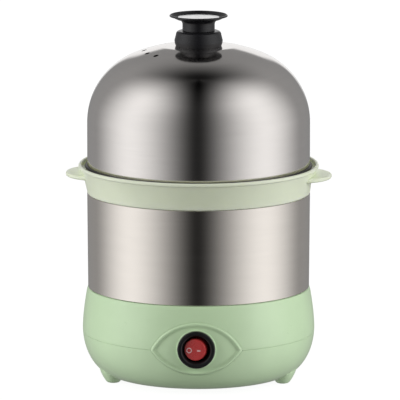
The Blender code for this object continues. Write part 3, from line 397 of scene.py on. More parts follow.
def brushed_metal(name, color, roughness, lines=1700.0, anisotropic=0.55, depth=0.05, spread=0.05):
    """Metal brushed round its axis: fine rings in its colour, its gloss and its surface."""
    material, tree, shader = new_material(name)
    place = add_node(tree, "ShaderNodeTexCoord").outputs["Object"]
    split = add_node(tree, "ShaderNodeSeparateXYZ", {"Vector": place})
    x, y, z = (split.outputs[axis] for axis in ("X", "Y", "Z"))
    squared = math_node(tree, "ADD", math_node(tree, "MULTIPLY", x, x), math_node(tree, "MULTIPLY", y, y))
    radius = math_node(tree, "SQRT", math_node(tree, "ADD", squared, 0.0000001))
    along = math_node(tree, "MULTIPLY", math_node(tree, "SUBTRACT", z, radius), lines)
    around_x = math_node(tree, "MULTIPLY", math_node(tree, "DIVIDE", x, radius), 2.5)
    around_y = math_node(tree, "MULTIPLY", math_node(tree, "DIVIDE", y, radius), 2.5)
    ring_place = add_node(tree, "ShaderNodeCombineXYZ", {"X": around_x, "Y": around_y, "Z": along})
    rings = noise_node(tree, ring_place.outputs["Vector"], 1.0, 3.0, 0.6)
    stretch = {0: ring_place.outputs["Vector"], 1: (1.0, 1.0, 0.12)}
    wide_place = add_node(tree, "ShaderNodeVectorMath", stretch, operation="MULTIPLY")
    bands = noise_node(tree, wide_place.outputs["Vector"], 1.0, 2.0)
    fine = math_node(tree, "MULTIPLY", rings, 0.6)
    broad = math_node(tree, "MULTIPLY", bands, 0.4)
    mixed = math_node(tree, "ADD", fine, broad)
    dark = tuple(channel * (1.0 - spread) for channel in color)
    light = tuple(min(1.0, channel * (1.0 + spread)) for channel in color)
    tree.links.new(
        ramp_node(tree, mixed, ((0.35, dark), (0.65, light)), "LINEAR"), shader.inputs["Base Color"]
    )
    gloss = add_node(
        tree,
        "ShaderNodeMapRange",
        {
            "Value": mixed,
            "From Min": 0.35,
            "From Max": 0.65,
            "To Min": roughness * 0.88,
            "To Max": roughness * 1.12,
        },
    )
    tree.links.new(gloss.outputs["Result"], shader.inputs["Roughness"])
    set_bump(tree, shader, rings, depth, 0.00005)
    tangent = add_node(tree, "ShaderNodeTangent", direction_type="RADIAL", axis="Z")
    tree.links.new(tangent.outputs["Tangent"], shader.inputs["Tangent"])
    shader.inputs["Metallic"].default_value = 1.0
    shader.inputs["Anisotropic"].default_value = anisotropic
    shader.inputs["Anisotropic Rotation"].default_value = 0.25
    return material


def plain_metal(name, color, roughness):
    """Small metal parts: plated or stamped, with faint blotches and scuffs."""
    material, tree, shader = new_material(name)
    place = add_node(tree, "ShaderNodeTexCoord").outputs["Object"]
    blotches = noise_node(tree, place, 300.0, 4.0, 0.65)
    dark = tuple(channel * 0.86 for channel in color)
    tree.links.new(
        ramp_node(tree, blotches, ((0.35, dark), (0.65, color))), shader.inputs["Base Color"]
    )
    gloss = add_node(
        tree,
        "ShaderNodeMapRange",
        {"Value": blotches, "To Min": roughness * 0.7, "To Max": roughness * 1.3},
    )
    tree.links.new(gloss.outputs["Result"], shader.inputs["Roughness"])
    set_bump(tree, shader, blotches, 0.1, 0.00005)
    shader.inputs["Metallic"].default_value = 1.0
    return material


green_plastic = moulded_plastic(
    "green_plastic", (0.55, 0.73, 0.46), 0.32, 0.02, 1100.0, 0.06, Coat_Weight=0.7, Coat_Roughness=0.3
)
tray_plastic = moulded_plastic(
    "tray_plastic", (0.78, 0.84, 0.65), 0.36, 0.02, 900.0, 0.06,
    Subsurface_Weight=0.4, Subsurface_Scale=0.004, Subsurface_Radius=(1.0, 1.0, 0.8), IOR=1.49,
    Coat_Weight=0.5, Coat_Roughness=0.3,
)
rack_plastic = moulded_plastic("rack_plastic", (0.74, 0.78, 0.70), 0.42, 0.03, 900.0, 0.08)
black_plastic = moulded_plastic("black_plastic", (0.012, 0.012, 0.014), 0.26, 0.15, 1500.0, 0.10)
bezel_plastic = moulded_plastic("bezel_plastic", (0.010, 0.010, 0.011), 0.32, 0.15, 1800.0, 0.12)
red_plastic = moulded_plastic(
    "red_plastic", (0.46, 0.035, 0.035), 0.28, 0.06, 1800.0, 0.05, Coat_Weight=0.3, Coat_Roughness=0.15
)
mark_paint = moulded_plastic("mark_paint", (0.72, 0.50, 0.50), 0.45, 0.05, 2500.0, 0.1)
white_plastic = moulded_plastic("white_plastic", (0.72, 0.72, 0.69), 0.5, 0.04)
silicone = moulded_plastic("silicone", (0.66, 0.66, 0.64), 0.62, 0.05)
black_rubber = moulded_plastic("black_rubber", (0.016, 0.016, 0.017), 0.6, 0.2, 1300.0, 0.25)
wire_brown = moulded_plastic("wire_brown", (0.16, 0.07, 0.03), 0.45, 0.08)
wire_blue = moulded_plastic("wire_blue", (0.03, 0.10, 0.35), 0.45, 0.08)
ring_steel = brushed_metal("ring_steel", (0.84, 0.79, 0.735), 0.14, 1700.0, 0.4, 0.015, 0.02)
dome_steel = brushed_metal("dome_steel", (0.82, 0.785, 0.76), 0.11, 1700.0, 0.4, 0.015, 0.02)
# Painted shade: near-black steel for the dome's rolled rim and vent walls. It stands in for the shadow in the
# gap between the rim and the tray, and for the shade inside the vents.
rim_shade_steel = plain_metal("rim_shade_steel", (0.07, 0.068, 0.066), 0.40)
insert_steel = brushed_metal("insert_steel", (0.80, 0.80, 0.80), 0.14, 2600.0, 0.3, 0.03, 0.04)
dish_steel = brushed_metal("dish_steel", (0.76, 0.75, 0.74), 0.20, 2000.0, 0.3, 0.03, 0.04)
zinc_steel = plain_metal("zinc_steel", (0.62, 0.63, 0.65), 0.34)
brass = plain_metal("brass", (0.70, 0.52, 0.22), 0.34)
aluminium = plain_metal("aluminium", (0.72, 0.73, 0.74), 0.42)


# Mesh helpers


def link(obj):
    bpy.context.scene.collection.objects.link(obj)
    return obj


def smooth(mesh, angle=32.0):
    mesh.shade_smooth()
    mesh.set_sharp_from_angle(angle=math.radians(angle))


def place_mesh(name, mesh, location=(0.0, 0.0, 0.0), rotation=(0.0, 0.0, 0.0)):
    obj = link(bpy.data.objects.new(name, mesh))
    obj.location = location
    obj.rotation_euler = [math.radians(angle) for angle in rotation]
    return obj


def mesh_from(name, builder):
    mesh = bpy.data.meshes.new(name)
    bm = bmesh.new()
    builder(bm)
    bmesh.ops.recalc_face_normals(bm, faces=bm.faces)
    bm.to_mesh(mesh)
    bm.free()
    return mesh


def turned(name, outline, steps=round_steps, closed=True, **where):
    """Turns an outline of (radius, height) points, which runs down the outer side, about its Z axis."""

    def build(bm):
        rings = []
        for radius, height in outline:
            if radius < axis_merge:
                rings.append([bm.verts.new((0.0, 0.0, height))])
                continue
            ring = []
            for i in range(steps):
                angle = 2 * math.pi * i / steps
                ring.append(bm.verts.new((radius * math.cos(angle), radius * math.sin(angle), height)))
            rings.append(ring)
        pairs = list(zip(rings, rings[1:]))
        if closed:
            pairs.append((rings[-1], rings[0]))
        for upper, lower in pairs:
            for i in range(steps):
                j = (i + 1) % steps
                corners = [upper[i % len(upper)], upper[j % len(upper)]]
                corners += [lower[j % len(lower)], lower[i % len(lower)]]
                face = [corner for k, corner in enumerate(corners) if corner not in corners[:k]]
                if len(face) > 2:
                    bm.faces.new(face)

    mesh = mesh_from(name, build)
    smooth(mesh)
    return place_mesh(name, mesh, **where)


def cylinder(name, radius, length, steps=small_steps, **where):
    def build(bm):
        bmesh.ops.create_cone(
            bm,
            cap_ends=True,
            segments=steps,
            radius1=radius,
            radius2=radius,
            depth=length,
            matrix=Matrix.Translation((0.0, 0.0, length / 2)),
        )

    mesh = mesh_from(name, build)
    smooth(mesh)
    return place_mesh(name, mesh, **where)


def box(name, size, bevel=0.0, **where):
    def build(bm):
        bmesh.ops.create_cube(bm, size=1.0, matrix=Matrix.Diagonal((*size, 1.0)))
        if bevel:
            bmesh.ops.bevel(bm, geom=bm.edges[:], offset=bevel, segments=3, affect="EDGES", profile=0.5)

    mesh = mesh_from(name, build)
    smooth(mesh)
    return place_mesh(name, mesh, **where)


def settle(obj):
    """Turns the modifiers of an object into its mesh."""
    graph = bpy.context.evaluated_depsgraph_get()
    mesh = bpy.data.meshes.new_from_object(obj.evaluated_get(graph))
    obj.modifiers.clear()
    obj.data = mesh
    smooth(mesh)


def combine(obj, tools, operation):
    """Cuts the tools from the object, or joins them to it, and removes them."""
    for tool in tools:
        modifier = obj.modifiers.new("combine", "BOOLEAN")
        modifier.operation = operation
        modifier.object = tool
        modifier.solver = "EXACT"
    settle(obj)
    for tool in tools:
        bpy.data.objects.remove(tool, do_unlink=True)


def dress(obj, node, body, material):
    """Gives a piece its material and puts it in the place of a node of the frame."""
    obj.data.materials.clear()
    obj.data.materials.append(material)
    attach(obj, body)
    if node:
        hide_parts(node)
    return obj


def arc(centre, radius, start, end, steps):
    """Points on an arc in the outline's plane, from the start angle to the end angle in degrees."""
    angles = [math.radians(start + (end - start) * i / steps) for i in range(steps + 1)]
    return [(centre[0] + radius * math.cos(a), centre[1] + radius * math.sin(a)) for a in angles]


def on_circle(radius, angle, height=0.0):
    return (
        radius * math.cos(math.radians(angle)),
        radius * math.sin(math.radians(angle)),
        height,
    )


# Shapes of the casing


def casing_radius(height, inset=0.0):
    if height >= belly_height:
        share = (height - belly_height) / (rim_height - belly_height)
        return belly_radius - inset - (belly_radius - rim_radius) * share**belly_power
    share = (belly_height - height) / (belly_height - base_bottom - inset)
    return heel_radius + (belly_radius - inset - heel_radius) * math.sqrt(max(0.0, 1.0 - share**2))


def casing_outline(top, bottom, steps, inset=0.0):
    heights = [top + (bottom - top) * i / steps for i in range(steps + 1)]
    return [(casing_radius(height, inset), height) for height in heights]


def underside_outline(start_height, inset, steps):
    depth = belly_height - base_bottom - inset
    reach = belly_radius - inset - heel_radius
    start = math.asin((belly_height - start_height) / depth)
    angles = [start + (math.pi / 2 - start) * i / steps for i in range(steps + 1)]
    return [(heel_radius + reach * math.cos(a), belly_height - depth * math.sin(a)) for a in angles]


def lens_outline(inset, steps=40):
    """The eye outline as (x, z) points, made smaller all round by the inset."""
    top_radius = (lens_half_chord**2 + lens_rise**2) / (2 * lens_rise)
    low_radius = (lens_half_chord**2 + lens_drop**2) / (2 * lens_drop)
    top_centre = lens_rise - top_radius
    low_centre = low_radius - lens_drop
    top = top_radius - inset
    low = low_radius - inset
    corner_z = (top**2 - low**2 + low_centre**2 - top_centre**2) / (2 * (low_centre - top_centre))
    corner_x = math.sqrt(top**2 - (corner_z - top_centre) ** 2)
    start = math.degrees(math.atan2(corner_z - top_centre, corner_x))
    upper = arc((0.0, top_centre), top, start, 180.0 - start, steps)
    turn = math.degrees(math.atan2(low_centre - corner_z, corner_x))
    lower = arc((0.0, low_centre), low, 180.0 + turn, 360.0 - turn, steps)
    return [(x, z + seam_height) for x, z in upper + lower[1:-1]]


def loft(name, loops):
    """A skin through loops of points, all with the same count."""

    def build(bm):
        rings = [[bm.verts.new(point) for point in loop] for loop in loops]
        count = len(rings[0])
        for upper, lower in zip(rings, rings[1:]):
            for i in range(count):
                j = (i + 1) % count
                bm.faces.new((upper[i], upper[j], lower[j], lower[i]))

    mesh = mesh_from(name, build)
    smooth(mesh, 40.0)
    return place_mesh(name, mesh)


def lens_prism():
    front = -(belly_radius + overrun)
    back = -(heel_radius)

    def build(bm):
        outline = lens_outline(0.0)
        rings = [[bm.verts.new((x, depth, z)) for x, z in outline] for depth in (front, back)]
        bm.faces.new(rings[0])
        bm.faces.new(rings[1])
        for i in range(len(outline)):
            j = (i + 1) % len(outline)
            bm.faces.new((rings[0][i], rings[0][j], rings[1][j], rings[1][i]))

    return place_mesh("lens_prism", mesh_from("lens_prism", build))


def make_upper_shell():
    low = seam_height + seam_gap / 2
    rim = arc((rim_radius - rim_round, rim_height - rim_round), rim_round, 90.0, 0.0, 6)
    outside = casing_outline(rim_height - rim_round, low + seam_round, 28)[1:]
    edge = [(casing_radius(low) - seam_round, low)]
    inside = casing_outline(deck_underside, low, 8, casing_wall)[::-1]
    outline = rim + outside + edge + inside
    outline += [
        (deck_hole_radius, deck_underside),
        (deck_hole_radius, rim_height),
        (spigot_inner, rim_height),
        (spigot_inner, rim_height + spigot_height - seat_gap),
        (spigot_inner + seat_gap, rim_height + spigot_height),
        (spigot_outer - slide_gap, rim_height + spigot_height),
        (spigot_outer, rim_height + spigot_height - slide_gap),
        (spigot_outer, rim_height),
    ]
    shell = turned("upper_casing", outline)
    combine(shell, [lens_prism()], "DIFFERENCE")
    return dress(shell, "base_upper_shell", "base", green_plastic)


def make_foot(name, angle):
    """A cone with a soft tip, which reaches up into the belly."""
    outline = [(0.0, foot_profile[0][1]), *foot_profile, (0.0, foot_profile[-1][1])]
    return turned(name, outline, closed=False, location=on_circle(foot_circle, angle))


def make_lower_shell():
    high = seam_height - seam_gap / 2
    inner = underside_outline(high, casing_wall, 16)[::-1]
    outer = underside_outline(high - seam_round, 0.0, 40)
    outline = [(0.0, floor_top)] + inner
    outline += [(outer[0][0] - seam_round, high)]
    outline += outer + [(0.0, base_bottom)]
    shell = turned("lower_casing", outline, closed=False)
    feet = [make_foot(f"foot_{i}", angle) for i, angle in enumerate(foot_angles)]
    core_outline = [(0.0, seam_height)] + underside_outline(seam_height - seat_gap, casing_wall / 2, 24)
    core_outline += [(0.0, base_bottom + casing_wall / 2)]
    for foot in feet:
        combine(foot, [turned("casing_core", core_outline, closed=False)], "DIFFERENCE")
    combine(shell, feet, "UNION")
    cuts = [lens_prism()]
    for i, angle in enumerate(case_screw_angles):
        place = on_circle(case_screw_circle, angle)
        cuts.append(cylinder(f"counterbore_{i}", counterbore_radius, screw_seat_height, location=place))
    cuts.append(
        cylinder(
            "outlet_pocket",
            outlet_pocket_radius,
            belly_radius + overrun - outlet_pocket_depth,
            location=(0.0, outlet_pocket_depth, outlet_height),
            rotation=(-90.0, 0.0, 0.0),
        )
    )
    combine(shell, cuts, "DIFFERENCE")
    return dress(shell, "base_lower_shell", "base", green_plastic)


def on_casing(x, z, proud):
    radius = casing_radius(z, -proud)
    return (x, -math.sqrt(radius**2 - x**2), z)


def make_switch_panel():
    """The eye-shaped panel: a rounded border, a hollow floor and the flat round seat of the switch."""
    loops = []
    for inset, proud in panel_profile:
        loops.append([on_casing(x, z, proud) for x, z in lens_outline(inset)])
    inner = lens_outline(panel_profile[-1][0])
    seat = []
    for x, z in inner:
        angle = math.atan2(z - switch_height, x)
        seat.append((math.cos(angle), math.sin(angle)))
    for share in panel_floor_shares + (1.0,):
        loop = []
        for (x, z), (cos, sin) in zip(inner, seat):
            end_x = switch_seat_radius * cos
            end_z = switch_height + switch_seat_radius * sin
            loop.append(on_casing(x + (end_x - x) * share, z + (end_z - z) * share, -panel_recess))
        loops.append(loop)
    flats = (
        (switch_seat_radius, switch_seat_place + switch_seat_round),
        (switch_seat_radius - switch_seat_round, switch_seat_place),
        (switch_barrel_radius + seat_gap, switch_seat_place),
        (switch_barrel_radius + seat_gap, switch_seat_place + panel_depth),
    )
    for radius, depth in flats:
        loops.append([(radius * cos, depth, switch_height + radius * sin) for cos, sin in seat])
    panel = loft("eye_panel", loops)
    return dress(panel, "switch_panel", "base", green_plastic)


def make_switch_housing():
    outline = [(0.0, -switch_bore_depth), (switch_bore_radius, -switch_bore_depth)]
    outline += [(switch_bore_radius, 0.0), (switch_mouth_radius, bezel_thickness - bezel_round)]
    outline += arc(
        (switch_mouth_radius + bezel_round, bezel_thickness - bezel_round), bezel_round, 180.0, 90.0, 5
    )[1:]
    outline += arc((bezel_radius - bezel_round, bezel_thickness - bezel_round), bezel_round, 90.0, 0.0, 6)
    outline += [
        (bezel_radius, 0.0),
        (switch_barrel_radius, 0.0),
        (switch_barrel_radius, -switch_barrel_depth),
        (0.0, -switch_barrel_depth),
    ]
    where = {"location": (0.0, switch_place, switch_height), "rotation": (90.0, 0.0, 0.0)}
    housing = turned("round_housing", outline, switch_steps, closed=False, **where)
    return dress(housing, "switch_housing", "base", bezel_plastic)


def rocker_frame():
    """Place and turn of the rocker at rest, with its left side pressed in."""
    pivot = Matrix.Translation((0.0, switch_place + rocker_pivot_depth, switch_height))
    return pivot @ Matrix.Rotation(math.radians(-rocker_tilt), 4, "Z")


def make_rocker():
    """The red rocker, with its ring and dash marks."""
    outline = [(0.0, rocker_front)]
    outline += [(rocker_front_radius / 2, rocker_front)]
    outline += arc(
        (rocker_front_radius - rocker_round, rocker_front - rocker_round), rocker_round, 90.0, 10.0, 6
    )
    outline += [(rocker_back_radius, -rocker_back), (0.0, -rocker_back)]
    rocker = turned("red_rocker", outline, switch_steps, closed=False)
    upright = Matrix.Rotation(math.radians(90.0), 4, "X")
    rocker.matrix_world = rocker_frame() @ upright
    dress(rocker, "switch_rocker", "rocker", red_plastic)
    face = -(rocker_front + mark_relief / 2)
    inner = mark_ring_radius - mark_stroke
    outline = [(mark_ring_radius, mark_relief), (mark_ring_radius, -mark_relief)]
    outline += [(inner, -mark_relief), (inner, mark_relief)]
    ring = turned("mark_ring", outline, mark_steps)
    left = Matrix.Translation((mark_shift - mark_side, face, -mark_drop))
    ring.matrix_world = rocker_frame() @ left @ upright
    dress(ring, None, "rocker", mark_paint)
    dash = box("mark_dash", (mark_dash_length, 2 * mark_relief, mark_dash_width), mark_relief / 2)
    right = Matrix.Translation((mark_shift + mark_side, face, -mark_drop))
    dash.matrix_world = rocker_frame() @ right
    dress(dash, None, "rocker", mark_paint)


def make_gland():
    inner_face = outlet_pocket_depth - outlet_pad_thickness - seat_gap
    outer_face = outlet_pocket_depth + seat_gap
    outline = [(gland_tip_radius - gland_round, gland_reach)]
    outline += [(gland_tip_radius, gland_reach - gland_round)]
    outline += [
        (gland_sleeve_radius, outer_face + gland_flange_thickness),
        (gland_flange_radius - gland_round, outer_face + gland_flange_thickness),
        (gland_flange_radius, outer_face + gland_flange_thickness - gland_round),
        (gland_flange_radius, outer_face),
        (gland_neck_radius, outer_face),
        (gland_neck_radius, inner_face),
        (gland_catch_radius, inner_face),
        (gland_sleeve_radius, inner_face - gland_inner_length),
        (gland_bore_radius, inner_face - gland_inner_length),
        (gland_bore_radius, gland_reach),
    ]
    where = {"location": (0.0, 0.0, outlet_height), "rotation": (-90.0, 0.0, 0.0)}
    gland = turned("rubber_gland", outline, gland_steps, **where)
    return dress(gland, "cord_gland", "base", black_rubber)


def make_ring():
    top = ring_top_height
    foot = ring_foot_height
    edge = ring_edge_round
    outline = [
        (ring_top_radius - edge, top),
        (ring_top_radius, top - edge),
        (ring_foot_radius, foot + edge),
        (ring_foot_radius - edge, foot),
        (ring_foot_radius - ring_wall + edge, foot),
        (ring_foot_radius - ring_wall, foot + edge),
        (ring_top_radius - ring_wall, top - edge),
        (ring_top_radius - ring_wall + edge, top),
    ]
    ring = turned("ring_wall", outline)
    return dress(ring, "steel_ring", "ring", ring_steel)


def make_dish():
    top = dish_flange_height + dish_wall
    floor_radius = dish_radius - dish_bend
    inner_bend = (floor_radius - dish_wall, dish_floor_height + dish_bend)
    outline = [(0.0, dish_floor_height), (floor_radius / 2, dish_floor_height)]
    outline += arc(inner_bend, dish_bend, -90.0, 0.0, 8)
    lip_bend = dish_bend / 2
    outline += arc((dish_radius - dish_wall + lip_bend, top - lip_bend), lip_bend, 180.0, 90.0, 5)
    outline += [
        (dish_flange_radius, top),
        (dish_flange_radius, dish_flange_height),
        (dish_radius, dish_flange_height),
    ]
    outline += arc((floor_radius, dish_underside + dish_bend), dish_bend, 0.0, -90.0, 8)
    outline += [(0.0, dish_underside)]
    dish = turned("water_dish", outline, closed=False)
    return dress(dish, "heating_dish", "base", dish_steel)


def egg_hole_tools(floor_height, thickness):
    foot_height = floor_height - overrun
    length = thickness + 2 * overrun
    tools = []
    for i in range(6):
        foot = on_circle(egg_circle, 60.0 * i, foot_height)
        tools.append(cylinder(f"egg_hole_{i}", egg_hole_radius, length, egg_hole_steps, location=foot))
        foot = on_circle(steam_hole_circle, 60.0 * i + 30.0, foot_height)
        tools.append(cylinder(f"steam_hole_{i}", steam_hole_radius, length, steam_hole_steps, location=foot))
    return tools


def make_rack():
    top = rack_height + rack_thickness
    rim_top = top + rack_rim_height
    inner = rack_radius - rack_rim_thickness
    outline = [
        (egg_hole_radius, top),
        (inner, top),
        (inner, rim_top),
        (rack_radius, rim_top),
        (rack_radius, rack_height),
        (egg_hole_radius, rack_height),
    ]
    rack = turned("egg_plate", outline)
    tools = []
    leg_foot = dish_floor_height + seat_gap
    for i, angle in enumerate(rack_leg_angles):
        length = rack_height + rack_thickness / 2 - leg_foot
        foot = on_circle(rack_leg_circle, angle, leg_foot)
        tools.append(cylinder(f"rack_leg_{i}", rack_leg_radius, length, location=foot))
    for side in (-1, 1):
        height = rack_tab_height + rack_thickness / 2
        where = (0.0, side * (inner - rack_tab_thickness), rack_height + rack_thickness / 2 + height / 2)
        size = (rack_tab_width, rack_tab_thickness, height)
        tools.append(box(f"rack_tab_{side}", size, rack_tab_thickness / 4, location=where))
    combine(rack, tools, "UNION")
    combine(rack, egg_hole_tools(rack_height, rack_thickness), "DIFFERENCE")
    return dress(rack, "egg_rack", "rack", rack_plastic)


def tray_band(steps):
    """Points down the outside of the tray's band, from the lip's underside to its foot."""
    waist_share = tray_waist_height / tray_neck_height
    waist_radius = (tray_waist_radius - tray_foot_radius) / (tray_neck_radius - tray_foot_radius)
    power = math.log(waist_radius) / math.log(waist_share)
    points = []
    for i in range(steps + 1):
        share = 1.0 - i / steps
        radius = tray_foot_radius + (tray_neck_radius - tray_foot_radius) * share**power
        points.append((radius, tray_foot_height + tray_neck_height * share))
    return points


def make_tray():
    lip_top = tray_foot_height + tray_lip_height
    lip_inner = tray_lip_radius - tray_lip_thickness
    skirt_radius = ring_top_radius - ring_wall - slide_gap
    floor_low = tray_floor_height - tray_wall
    inner_foot = skirt_radius - tray_wall
    band = tray_band(16)
    outline = [(egg_hole_radius, tray_floor_height), (inner_foot, tray_floor_height)]
    outline += [(inner_foot, shelf_height), (lip_inner, shelf_height)]
    outline += arc((lip_inner + tray_lip_round, lip_top - tray_lip_round), tray_lip_round, 180.0, 90.0, 5)
    outline += arc((tray_lip_radius - tray_lip_round, lip_top - tray_lip_round), tray_lip_round, 90.0, 0.0, 5)
    outline += [
        (tray_lip_radius, band[0][1] + tray_lip_round),
        (tray_lip_radius - tray_lip_round / 3, band[0][1] + tray_lip_round / 2),
    ]
    outline += band
    outline += [(skirt_radius, tray_foot_height), (skirt_radius, floor_low), (egg_hole_radius, floor_low)]
    tray = turned("upper_tray", outline)
    combine(tray, facet_tools(), "DIFFERENCE")
    combine(tray, ear_tools(), "UNION")
    combine(tray, egg_hole_tools(floor_low, tray_wall), "DIFFERENCE")
    tray.rotation_euler = (0.0, 0.0, math.radians(tray_turn))
    return dress(tray, "egg_tray", "tray", tray_plastic)


def facet_tools():
    low = tray_foot_height - overrun / 2
    high = tray_foot_height + tray_neck_height - ear_drop
    depth = tray_neck_radius - tray_facet_place + overrun
    tools = []
    for side in (-1, 1):
        where = (side * (tray_facet_place + depth / 2), 0.0, (low + high) / 2)
        tools.append(box(f"facet_{side}", (depth, 2 * ear_disc_radius, high - low), location=where))
    return tools


def ear_tools():
    """Two D-shaped ears with soft edges."""
    foot_height = tray_foot_height + tray_neck_height - ear_drop
    outline = [(0.0, ear_thickness)]
    outline += arc((ear_disc_radius - ear_round, ear_thickness - ear_round), ear_round, 90.0, 0.0, 5)
    outline += arc((ear_disc_radius - ear_round, ear_round), ear_round, 0.0, -90.0, 5)
    outline += [(0.0, 0.0)]
    tools = []
    for side in (-1, 1):
        where = (side * (ear_reach - ear_disc_radius), 0.0, foot_height)
        ear = turned(f"ear_{side}", outline, ear_steps, closed=False, location=where)
        core = cylinder(
            f"ear_core_{side}",
            tray_facet_place - tray_wall / 2,
            ear_thickness + 2 * overrun,
            round_steps,
            location=(0.0, 0.0, foot_height - overrun),
        )
        combine(ear, [core], "DIFFERENCE")
        tools.append(ear)
    return tools


def dome_outline(inset, first_radius):
    """Points down the dome, moved in by the inset: flat top, crown arc and knuckle arc."""
    knuckle_centre = (dome_radius - dome_knuckle_radius, dome_knuckle_height)
    join_angle = math.degrees(math.atan2(crown_drop, dome_radius - dome_knuckle_radius))
    crown = dome_crown_radius - inset
    flat = dome_top - inset
    first = math.degrees(math.asin((flat - crown_centre) / crown))
    points = [(first_radius, flat), (dome_flat_radius - 3 * dome_flat_round, flat)]
    points += arc((0.0, crown_centre), crown, first - dome_flat_blend, join_angle, 14)
    points += arc(knuckle_centre, dome_knuckle_radius - inset, join_angle, 0.0, 36)[1:]
    return points


def make_dome():
    outer = dome_outline(0.0, knob_screw_hole)
    inner = dome_outline(dome_wall, knob_screw_hole)
    lift = math.sqrt(max(0.0, bead_radius**2 - (dome_radius - bead_centre_radius) ** 2))
    start = math.degrees(math.atan2(lift, dome_radius - bead_centre_radius))
    bead = arc((bead_centre_radius, bead_height), bead_radius, start, -90.0, 14)
    outline = outer + bead + [(dome_radius - dome_wall, bead_height - bead_radius)] + inner[::-1]
    dome = turned("dome_shell", outline)
    tools = []
    for i, angle in enumerate(vent_angles):
        foot = on_circle(vent_circle, angle, dome_knuckle_height)
        length = dome_top - dome_knuckle_height + overrun
        tools.append(cylinder(f"vent_{i}", vent_radius, length, location=foot))
    combine(dome, tools, "DIFFERENCE")
    dress(dome, "dome_lid", "lid", dome_steel)
    # Painted shade on the dome's rim and vent walls.
    paint_rim_and_vent_shade(dome)


def paint_rim_and_vent_shade(dome):
    """Paints shade on the rolled rim and the walls of the punched vents: they get the near-black steel, which
    stands in for the shadow in the gap under the rim and the shade inside the vents.
    """
    dome.data.materials.append(rim_shade_steel)
    vents = [on_circle(vent_circle, angle) for angle in vent_angles]
    reach = vent_radius + dome_wall / 4
    for face in dome.data.polygons:
        x, y, z = face.center
        rolled = z < bead_height + bead_radius
        upright = abs(face.normal.z) < vent_wall_slope
        punched = any(math.hypot(x - vent[0], y - vent[1]) < reach for vent in vents)
        # The rim's faces and the vent walls take the painted-shade steel.
        if rolled or (upright and punched):
            face.material_index = 1


def make_collar():
    """The collar, whose underside lies close on the dome's flat top."""
    foot = dome_top + seat_gap
    top = foot + collar_height
    outline = arc((collar_top_radius - collar_round, top - collar_round), collar_round, 90.0, 0.0, 10)
    outline += [
        (collar_radius, foot + collar_belly_height),
        ((3 * collar_radius + collar_foot_radius) / 4, foot + collar_belly_height / 2),
        (collar_foot_radius, dome_top + collar_seat_gap),
        (knob_screw_hole, dome_top + collar_seat_gap),
        (knob_screw_hole, top),
    ]
    collar = turned("collar", outline, knob_steps)
    return dress(collar, "knob_collar", "lid", black_plastic)


def make_grip():
    foot = dome_top + seat_gap + collar_height + seat_gap
    neck_top = foot + grip_neck_height
    rim_low = neck_top + grip_funnel_height
    top = rim_low + grip_rim_height
    pocket = top - grip_pocket_depth
    outline = [
        (0.0, pocket),
        (grip_floor_radius, pocket),
        ((grip_floor_radius + grip_lip_radius) / 2, pocket + grip_pocket_depth / 3),
        (grip_lip_radius - grip_rim_round, top - grip_rim_round),
        (grip_lip_radius - grip_rim_round / 3, top - grip_rim_round / 3),
    ]
    outline += arc((grip_rim_radius - grip_rim_round, top - grip_rim_round), grip_rim_round, 110.0, -30.0, 8)
    flare_centre = (grip_rim_radius, neck_top - grip_funnel_height / 2)
    flare = grip_rim_radius - grip_neck_radius
    for i in range(1, flare_steps + 1):
        angle = math.radians(flare_start + (180.0 - flare_start) * i / flare_steps)
        height = flare_centre[1] + (rim_low - flare_centre[1]) * math.sin(angle)
        outline.append((flare_centre[0] + flare * math.cos(angle), height))
    outline += [
        (grip_neck_radius, foot),
        (knob_screw_hole, foot),
        (knob_screw_hole, foot + grip_bore_depth),
        (0.0, foot + grip_bore_depth),
    ]
    grip = turned("grip", outline, knob_steps, closed=False)
    dress(grip, "knob_grip", "lid", black_plastic)
    seat = pocket + seat_gap
    high = seat + insert_thickness
    outline = [
        (0.0, high - insert_dish),
        (insert_radius / 3, high - 8 * insert_dish / 9),
        (2 * insert_radius / 3, high - 5 * insert_dish / 9),
        (insert_radius - 2 * insert_round, high),
        (insert_radius - insert_round, high),
        (insert_radius, high - insert_round),
        (insert_radius, seat),
        (0.0, seat),
    ]
    insert = turned("bright_disc", outline, knob_steps, closed=False)
    return dress(insert, "knob_insert", "lid", insert_steel)


def dress_small_nodes():
    """Materials of the frame's own nodes that stay as they are."""
    materials = {
        "silicone": silicone,
        "zinc_steel": zinc_steel,
        "brass": brass,
        "aluminium": aluminium,
        "white_plastic": white_plastic,
        "wire_brown": wire_brown,
        "wire_blue": wire_blue,
    }
    slots = {entry["node"]: entry["material_slot"] for entry in frame["record"]["subparts"]}
    for node, obj in frame["nodes"].items():
        if slots[node] in materials:
            obj.data.materials.clear()
            obj.data.materials.append(materials[slots[node]])


# Studio


def make_floor():
    """Plain floor that glows white, which the metal doesn't mirror."""

    def build(bm):
        bmesh.ops.create_grid(bm, x_segments=1, y_segments=1, size=floor_size / 2)

    floor = place_mesh("floor", mesh_from("floor", build), location=(0.0, 0.0, -floor_drop))
    material, _, shader = new_material("floor_white")
    shader.inputs["Base Color"].default_value = (floor_grey, floor_grey, floor_grey, 1.0)
    shader.inputs["Roughness"].default_value = 1.0
    shader.inputs["Specular IOR Level"].default_value = 0.0
    shader.inputs["Emission Color"].default_value = (1.0, 1.0, 1.0, 1.0)
    shader.inputs["Emission Strength"].default_value = floor_glow
    floor.data.materials.append(material)
    floor.visible_glossy = False
    floor.visible_diffuse = False


